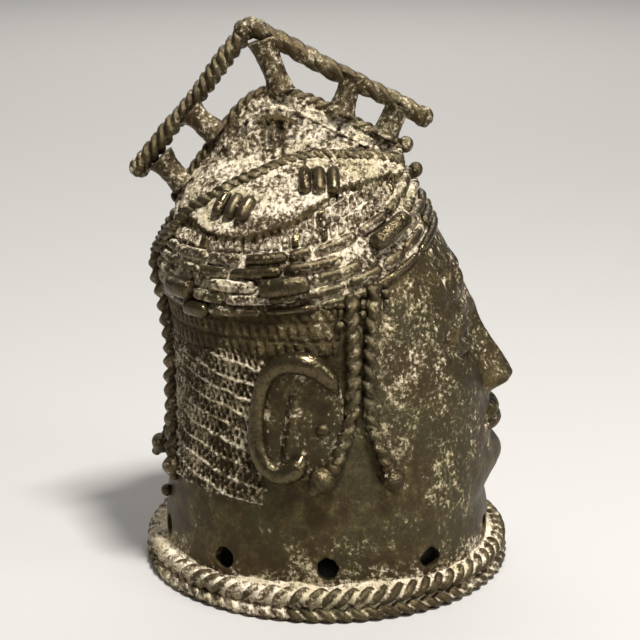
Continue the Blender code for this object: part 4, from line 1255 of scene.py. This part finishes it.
def old_brass_group(finish):
    """Patina, crust and wear: clouds of brown, olive and green metal under an earthy crust.

    The crust lies where the piece is sandy or hollow and where the noise is high. It is thin over
    polished ridges, and breaks up into grains about a millimetre wide. Deep grooves and hollows are
    painted darker, towards a dark soil colour, as painted shade.
    """
    hue, number = "NodeSocketColor", "NodeSocketFloat"
    inputs = [
        (label, hue, (*getattr(finish, key), 1))
        for label, key in (
            ("Brown", "brown"), ("Olive", "olive"), ("Green", "green"), ("Crust", "sand"),
            ("Pale", "pale"), ("Ochre", "ochre"), ("Worn", "worn"),
        )
    ]
    inputs += [(label, number, 0.0) for label in ("Hollow", "Groove", "Sand", "Polish", "Settle", "Dirt")]
    outputs = [("Color", hue)] + [(label, number) for label in ("Roughness", "Metallic", "Height")]
    tree, given, result = group_tree("old_brass_surface", inputs, outputs)
    place = node(tree, "ShaderNodeTexCoord").outputs["Object"]
    get = given.outputs
    broad, clouds = noise(tree, place, 24.0, 3.0), noise(tree, place, 85.0, 5.0, 0.65)
    grain, fine = noise(tree, place, 420.0, 4.0, 0.65), noise(tree, place, 1300.0, 3.0, 0.65)
    metal = blend(tree, ramp(tree, clouds, 0.38, 0.70), get["Brown"], get["Olive"])
    metal = blend(tree, maths(tree, "MULTIPLY", ramp(tree, broad, 0.46, 0.62), 0.45), metal, get["Green"])
    metal = blend(tree, maths(tree, "MULTIPLY", ramp(tree, grain, 0.56, 0.38), 0.7), metal, get["Brown"])
    handled = ramp(tree, maths(tree, "ADD", clouds, grain), 0.78, 1.04)
    polish = maths(tree, "MULTIPLY", get["Polish"], handled)
    metal = blend(tree, polish, metal, get["Worn"])
    shape = weighted(tree, ((get["Hollow"], 0.25), (get["Groove"], 0.55)))
    settled = maths(tree, "MULTIPLY", shape, get["Settle"])
    spread = weighted(tree, ((clouds, 1.6), (grain, 2.2), (broad, 0.6)), -2.2)
    total = weighted(tree, ((settled, 1.0), (spread, 1.0), (get["Sand"], 1.0), (get["Polish"], -0.45)))
    crust = ramp(tree, total, 0.14, 0.72)
    grains = weighted(tree, ((fine, 1.5), (grain, 1.3), (clouds, 0.9), (total, 1.0)), -2.52)
    earth = blend(tree, ramp(tree, grains, -0.48, 0.60), get["Crust"], get["Pale"])
    yellow = ramp(tree, weighted(tree, ((broad, 1.0), (clouds, 0.6))), 0.76, 0.98)
    earth = blend(tree, maths(tree, "MULTIPLY", yellow, 0.6), earth, get["Ochre"])
    pits = ramp(tree, weighted(tree, ((fine, 1.0), (grain, 1.0))), 0.96, 0.74)
    # A dark soil colour: for the dark pits in the crust, and for the painted shade in grooves below
    dark_soil_and_shade = blend(tree, 0.62, get["Brown"], (0.0, 0.0, 0.0, 1.0))
    earth = blend(tree, maths(tree, "MULTIPLY", pits, 0.50), earth, dark_soil_and_shade)
    colour_out = blend(tree, crust, metal, earth)
    # Painted shade: deep grooves and hollows, with some grain, are painted towards the dark soil colour by
    # the Painted shade weight
    deep = weighted(tree, ((get["Groove"], 1.0), (get["Hollow"], 0.35), (grain, 0.5)), -0.25)
    deep = ramp(tree, deep, 0.05, 0.46)
    colour_out = blend(tree, maths(tree, "MULTIPLY", deep, get["Dirt"], True), colour_out, dark_soil_and_shade)
    rough = weighted(tree, ((grain, 0.30), (polish, -0.30), (crust, 0.42)), 0.30)
    metallic = weighted(tree, ((crust, -0.85),), 0.88)
    bumpy = weighted(tree, ((grain, 1.0), (fine, 0.60), (crust, 0.35), (clouds, 0.8)))
    height = maths(tree, "MULTIPLY", bumpy, weighted(tree, ((polish, -0.85),), 1.0))
    for (label, _), socket in zip(outputs, (colour_out, rough, metallic, height)):
        tree.links.new(socket, result.inputs[label])
    return tree


def weighted(tree, terms, start=0.0):
    """The sum of values times weights, from a start."""
    total = start
    for value, weight in terms:
        settings = {0: value, 1: weight, 2: total}
        total = node(tree, "ShaderNodeMath", operation="MULTIPLY_ADD", inputs=settings).outputs[0]
    return total


def brass_material(name, surface, gloss, relief, settle, painted_shade):
    """Old brass for one kind of surface: the shared group fed by the piece's own attributes."""
    material = bpy.data.materials.new(name)
    material.use_nodes = True
    tree = material.node_tree
    shader = tree.nodes["Principled BSDF"]
    aged = node(tree, "ShaderNodeGroup", node_tree=surface, inputs={})
    aged.inputs["Settle"].default_value = settle
    aged.inputs["Dirt"].default_value = painted_shade
    for label in ("Hollow", "Groove", "Polish", "Sand"):
        value = node(tree, "ShaderNodeAttribute", attribute_name=label.lower()).outputs["Fac"]
        tree.links.new(value, aged.inputs[label])
    # The last value sets how dark the painted shade in grooves and hollows is
    shader.inputs["Specular IOR Level"].default_value = gloss
    for label, socket in (("Color", "Base Color"), ("Roughness", "Roughness"), ("Metallic", "Metallic")):
        tree.links.new(aged.outputs[label], shader.inputs[socket])
    settings = {"Strength": relief, "Distance": GRAIN_HEIGHT, "Height": aged.outputs["Height"]}
    bumps = node(tree, "ShaderNodeBump", inputs=settings)
    tree.links.new(bumps.outputs["Normal"], shader.inputs["Normal"])
    return material


def material_of(name):
    """The named finish, made on first use."""
    finish = bpy.context.scene.brass_finish
    if name not in bpy.data.materials:
        surface = bpy.data.node_groups.get("old_brass_surface") or old_brass_group(finish)
        brass_material(name, surface, *KINDS[name])
    return bpy.data.materials[name]


def blurred(field, radius):
    """A field averaged over boxes of that radius in cells, three times along each axis."""
    for axis in range(3):
        for _ in range(3):
            pad = [(0, 0)] * 3
            pad[axis] = (radius + 1, radius)
            total = np.cumsum(np.pad(field, pad), axis=axis)
            count = field.shape[axis]
            ahead = np.take(total, np.arange(2 * radius + 1, 2 * radius + 1 + count), axis=axis)
            behind = np.take(total, np.arange(count), axis=axis)
            field = (ahead - behind) / (2 * radius + 1)
    return field


def age_metal():
    """Marks hollows on every piece: how far the metal's own centre, nearby, lies out along the normal.

    The surface of all pieces is spread over a lattice by area. Where it is blurred, the mean place of
    the nearby surface less the point, along the normal, is positive in a groove and negative on a ridge.
    The marks let sand settle in the material, and drive the painted shade in grooves and hollows.
    """
    pieces = [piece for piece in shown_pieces() if "sand" in piece.data.attributes]
    points = [read(p.data.vertices, "co") for p in pieces]
    normals = [read(p.data.vertex_normals, "vector") for p in pieces]
    areas = [point_areas(p.data) for p in pieces]
    all_points, weight = np.concatenate(points), np.concatenate(areas)
    for label, cell, radius in (("groove", 0.0012, 1), ("hollow", 0.0024, 2)):
        low = all_points.min(0) - 8 * cell
        shape = tuple(((all_points.max(0) - low) / cell + 9).astype(int))
        index = np.ravel_multi_index(((all_points - low) / cell + 0.5).astype(int).T, shape)
        total = np.prod(shape)
        mass = blurred(np.bincount(index, weight, total).reshape(shape), radius)
        moments = [
            blurred(np.bincount(index, weight * all_points[:, k], total).reshape(shape), radius)
            for k in range(3)
        ]
        reach = cell * math.sqrt(3 * ((2 * radius + 1) ** 2 - 1) / 12)
        for piece, places, facing in zip(pieces, points, normals):
            spots = ((places + facing * cell * 0.5 - low) / cell + 0.5).astype(int)
            at = np.ravel_multi_index(spots.T, shape)
            here = np.maximum(mass.ravel()[at], 1e-12)
            centre = np.stack([m.ravel()[at] for m in moments], -1) / here[:, None]
            value = ((centre - places) * facing).sum(-1) / reach
            made = piece.data.attributes.new(label, "FLOAT", "POINT")
            made.data.foreach_set("value", value.astype(np.float32))


def point_areas(mesh):
    """A third of the area of the triangles round each point."""
    mesh.calc_loop_triangles()
    triangles = mesh.loop_triangles
    corners = np.empty(len(triangles) * 3, np.int32)
    triangles.foreach_get("vertices", corners)
    area = read(triangles, "area", 1)
    return np.bincount(corners, np.repeat(area / 3, 3), len(mesh.vertices))


# Camera, and each light's place, power in watts and width
CAMERA_TARGET = (0.0, 0.0041, 0.1442)
CAMERA_DISTANCE = 1.0
CAMERA_ELEVATION = 15.73
CAMERA_LENS = 95.1
FLOOR_HALF = 14.0
ROOM_LIGHT = 0.14
LIGHTS = (
    ("key_light", (-0.52, -0.32, 1.68), 46.0, 0.26),
    ("front_light", (-0.70, -1.30, 0.75), 6.0, 0.5),
    ("back_light", (0.9, 0.9, 1.2), 2.5, 0.8),
    ("floor_light", (2.6, 0.0, 2.2), 68.0, 2.6),
)


def make_stage():
    """A plain floor, soft light from above and in front, and the camera at the photograph's place."""
    scene = bpy.context.scene
    corners = [(x * FLOOR_HALF, y * FLOOR_HALF, 0) for x, y in ((-1, -1), (1, -1), (1, 1), (-1, 1))]
    mesh = bpy.data.meshes.new("floor")
    mesh.from_pydata(corners, [], [(0, 1, 2, 3)])
    floor = bpy.data.objects.new("floor", mesh)
    scene.collection.objects.link(floor)
    paint = bpy.data.materials.new("floor_paint")
    paint.use_nodes = True
    shader = paint.node_tree.nodes["Principled BSDF"]
    shader.inputs["Base Color"].default_value = (*scene.brass_finish.floor, 1)
    shader.inputs["Roughness"].default_value = 0.9
    shader.inputs["Specular IOR Level"].default_value = 0.1
    mesh.materials.append(paint)
    floor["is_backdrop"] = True
    world = bpy.data.worlds.new("studio")
    world.use_nodes = True
    room = world.node_tree.nodes["Background"].inputs
    room["Color"].default_value = (1.0, 0.985, 0.96, 1)
    room["Strength"].default_value = ROOM_LIGHT
    scene.world = world
    scene.view_settings.view_transform = "Standard"
    for name, place, power, size in LIGHTS:
        light = bpy.data.lights.new(name, "AREA")
        light.energy, light.size = power, size
        lamp = bpy.data.objects.new(name, light)
        lamp.location = place
        if name != "floor_light":
            aim(lamp, CAMERA_TARGET)
        scene.collection.objects.link(lamp)
    rise = math.radians(CAMERA_ELEVATION)
    back = np.array([-math.cos(rise), 0, math.sin(rise)])
    lens = bpy.data.cameras.new("camera")
    lens.lens = CAMERA_LENS
    lens.clip_start, lens.clip_end = 0.01, 60.0
    camera = bpy.data.objects.new("camera", lens)
    camera.location = np.array(CAMERA_TARGET) + CAMERA_DISTANCE * back
    aim(camera, CAMERA_TARGET)
    scene.collection.objects.link(camera)
    scene.camera = camera


def aim(obj, target):
    """Turns a lamp or camera to look at a target."""
    obj.rotation_euler = (Vector(target) - obj.location).to_track_quat("-Z", "Y").to_euler()


class BRASS_OT_shell(bpy.types.Operator):
    """Cast wall of the head, with its face and its row of holes"""

    bl_idname = "brass.shell"
    bl_label = "Shell"
    bl_options = {"REGISTER", "UNDO"}

    def execute(self, context):
        make_shell(material_of("smooth_brass"))
        return {"FINISHED"}


class BRASS_OT_base(bpy.types.Operator):
    """Ledge and ropes round the foot"""

    bl_idname = "brass.base"
    bl_label = "Base"
    bl_options = {"REGISTER", "UNDO"}

    def execute(self, context):
        make_base(material_of("rope_brass"))
        return {"FINISHED"}


class BRASS_OT_hair(bpy.types.Operator):
    """Net of hair under the cap"""

    bl_idname = "brass.hair"
    bl_label = "Hair"
    bl_options = {"REGISTER", "UNDO"}

    def execute(self, context):
        make_hair(material_of("sandy_brass"))
        return {"FINISHED"}


class BRASS_OT_cap(bpy.types.Operator):
    """Cap bed, beads and bundles"""

    bl_idname = "brass.cap"
    bl_label = "Cap"
    bl_options = {"REGISTER", "UNDO"}

    def execute(self, context):
        make_cap(material_of("sandy_brass"), material_of("bead_brass"))
        return {"FINISHED"}


class BRASS_OT_crest(bpy.types.Operator):
    """Crest panel with its rope, and the gable over it"""

    bl_idname = "brass.crest"
    bl_label = "Crest"
    bl_options = {"REGISTER", "UNDO"}

    def execute(self, context):
        make_crest(material_of("sandy_brass"), material_of("braid_brass"))
        make_gable(material_of("braid_brass"))
        return {"FINISHED"}


class BRASS_OT_braids(bpy.types.Operator):
    """Crown ropes, plaits and bells"""

    bl_idname = "brass.braids"
    bl_label = "Braids and bells"
    bl_options = {"REGISTER", "UNDO"}

    def execute(self, context):
        make_braids(material_of("braid_brass"))
        return {"FINISHED"}


class BRASS_OT_ears(bpy.types.Operator):
    """Both ears"""

    bl_idname = "brass.ears"
    bl_label = "Ears"
    bl_options = {"REGISTER", "UNDO"}

    def execute(self, context):
        make_ears(material_of("bead_brass"))
        return {"FINISHED"}


class BRASS_OT_age(bpy.types.Operator):
    """Marks grooves and hollows, where sand settles and where shade is painted"""

    bl_idname = "brass.age"
    bl_label = "Age the metal"
    bl_options = {"REGISTER", "UNDO"}

    def execute(self, context):
        age_metal()
        return {"FINISHED"}


class BRASS_OT_stage(bpy.types.Operator):
    """Floor, light and camera"""

    bl_idname = "brass.stage"
    bl_label = "Stage"
    bl_options = {"REGISTER", "UNDO"}

    def execute(self, context):
        make_stage()
        return {"FINISHED"}


OPERATORS = (
    BRASS_OT_shell, BRASS_OT_base, BRASS_OT_hair, BRASS_OT_cap, BRASS_OT_crest, BRASS_OT_braids,
    BRASS_OT_ears, BRASS_OT_age, BRASS_OT_stage,
)
GROUPS = (
    ("brass_head", BrassHeadSizes), ("brass_ropes", BrassRopeSizes), ("brass_crest", BrassCrestSizes),
    ("brass_cap", BrassCapSizes), ("brass_finish", BrassFinish),
)


class BRASS_PT_panel(bpy.types.Panel):
    """Sizes, colours and steps of the brass head"""

    bl_idname = "BRASS_PT_panel"
    bl_label = "Brass Head"
    bl_space_type = "VIEW_3D"
    bl_region_type = "UI"
    bl_category = "Brass Head"

    def draw(self, context):
        for name, group in GROUPS:
            box = self.layout.box()
            values = getattr(context.scene, name)
            for key in group.__annotations__:
                box.prop(values, key)
        for operator in OPERATORS:
            self.layout.operator(operator.bl_idname)


def register():
    for name, group in GROUPS:
        bpy.utils.register_class(group)
        setattr(bpy.types.Scene, name, bpy.props.PointerProperty(type=group))
    for cls in (*OPERATORS, BRASS_PT_panel):
        bpy.utils.register_class(cls)


def unregister():
    for cls in reversed((*OPERATORS, BRASS_PT_panel)):
        bpy.utils.unregister_class(cls)
    for name, group in reversed(GROUPS):
        delattr(bpy.types.Scene, name)
        bpy.utils.unregister_class(group)


def main():
    """Makes every piece in order."""
    register()
    steps = bpy.ops.brass
    steps.shell()
    steps.base()
    steps.hair()
    steps.cap()
    steps.crest()
    steps.braids()
    steps.ears()
    steps.age()
    steps.stage()


if __name__ == "__main__":
    main()
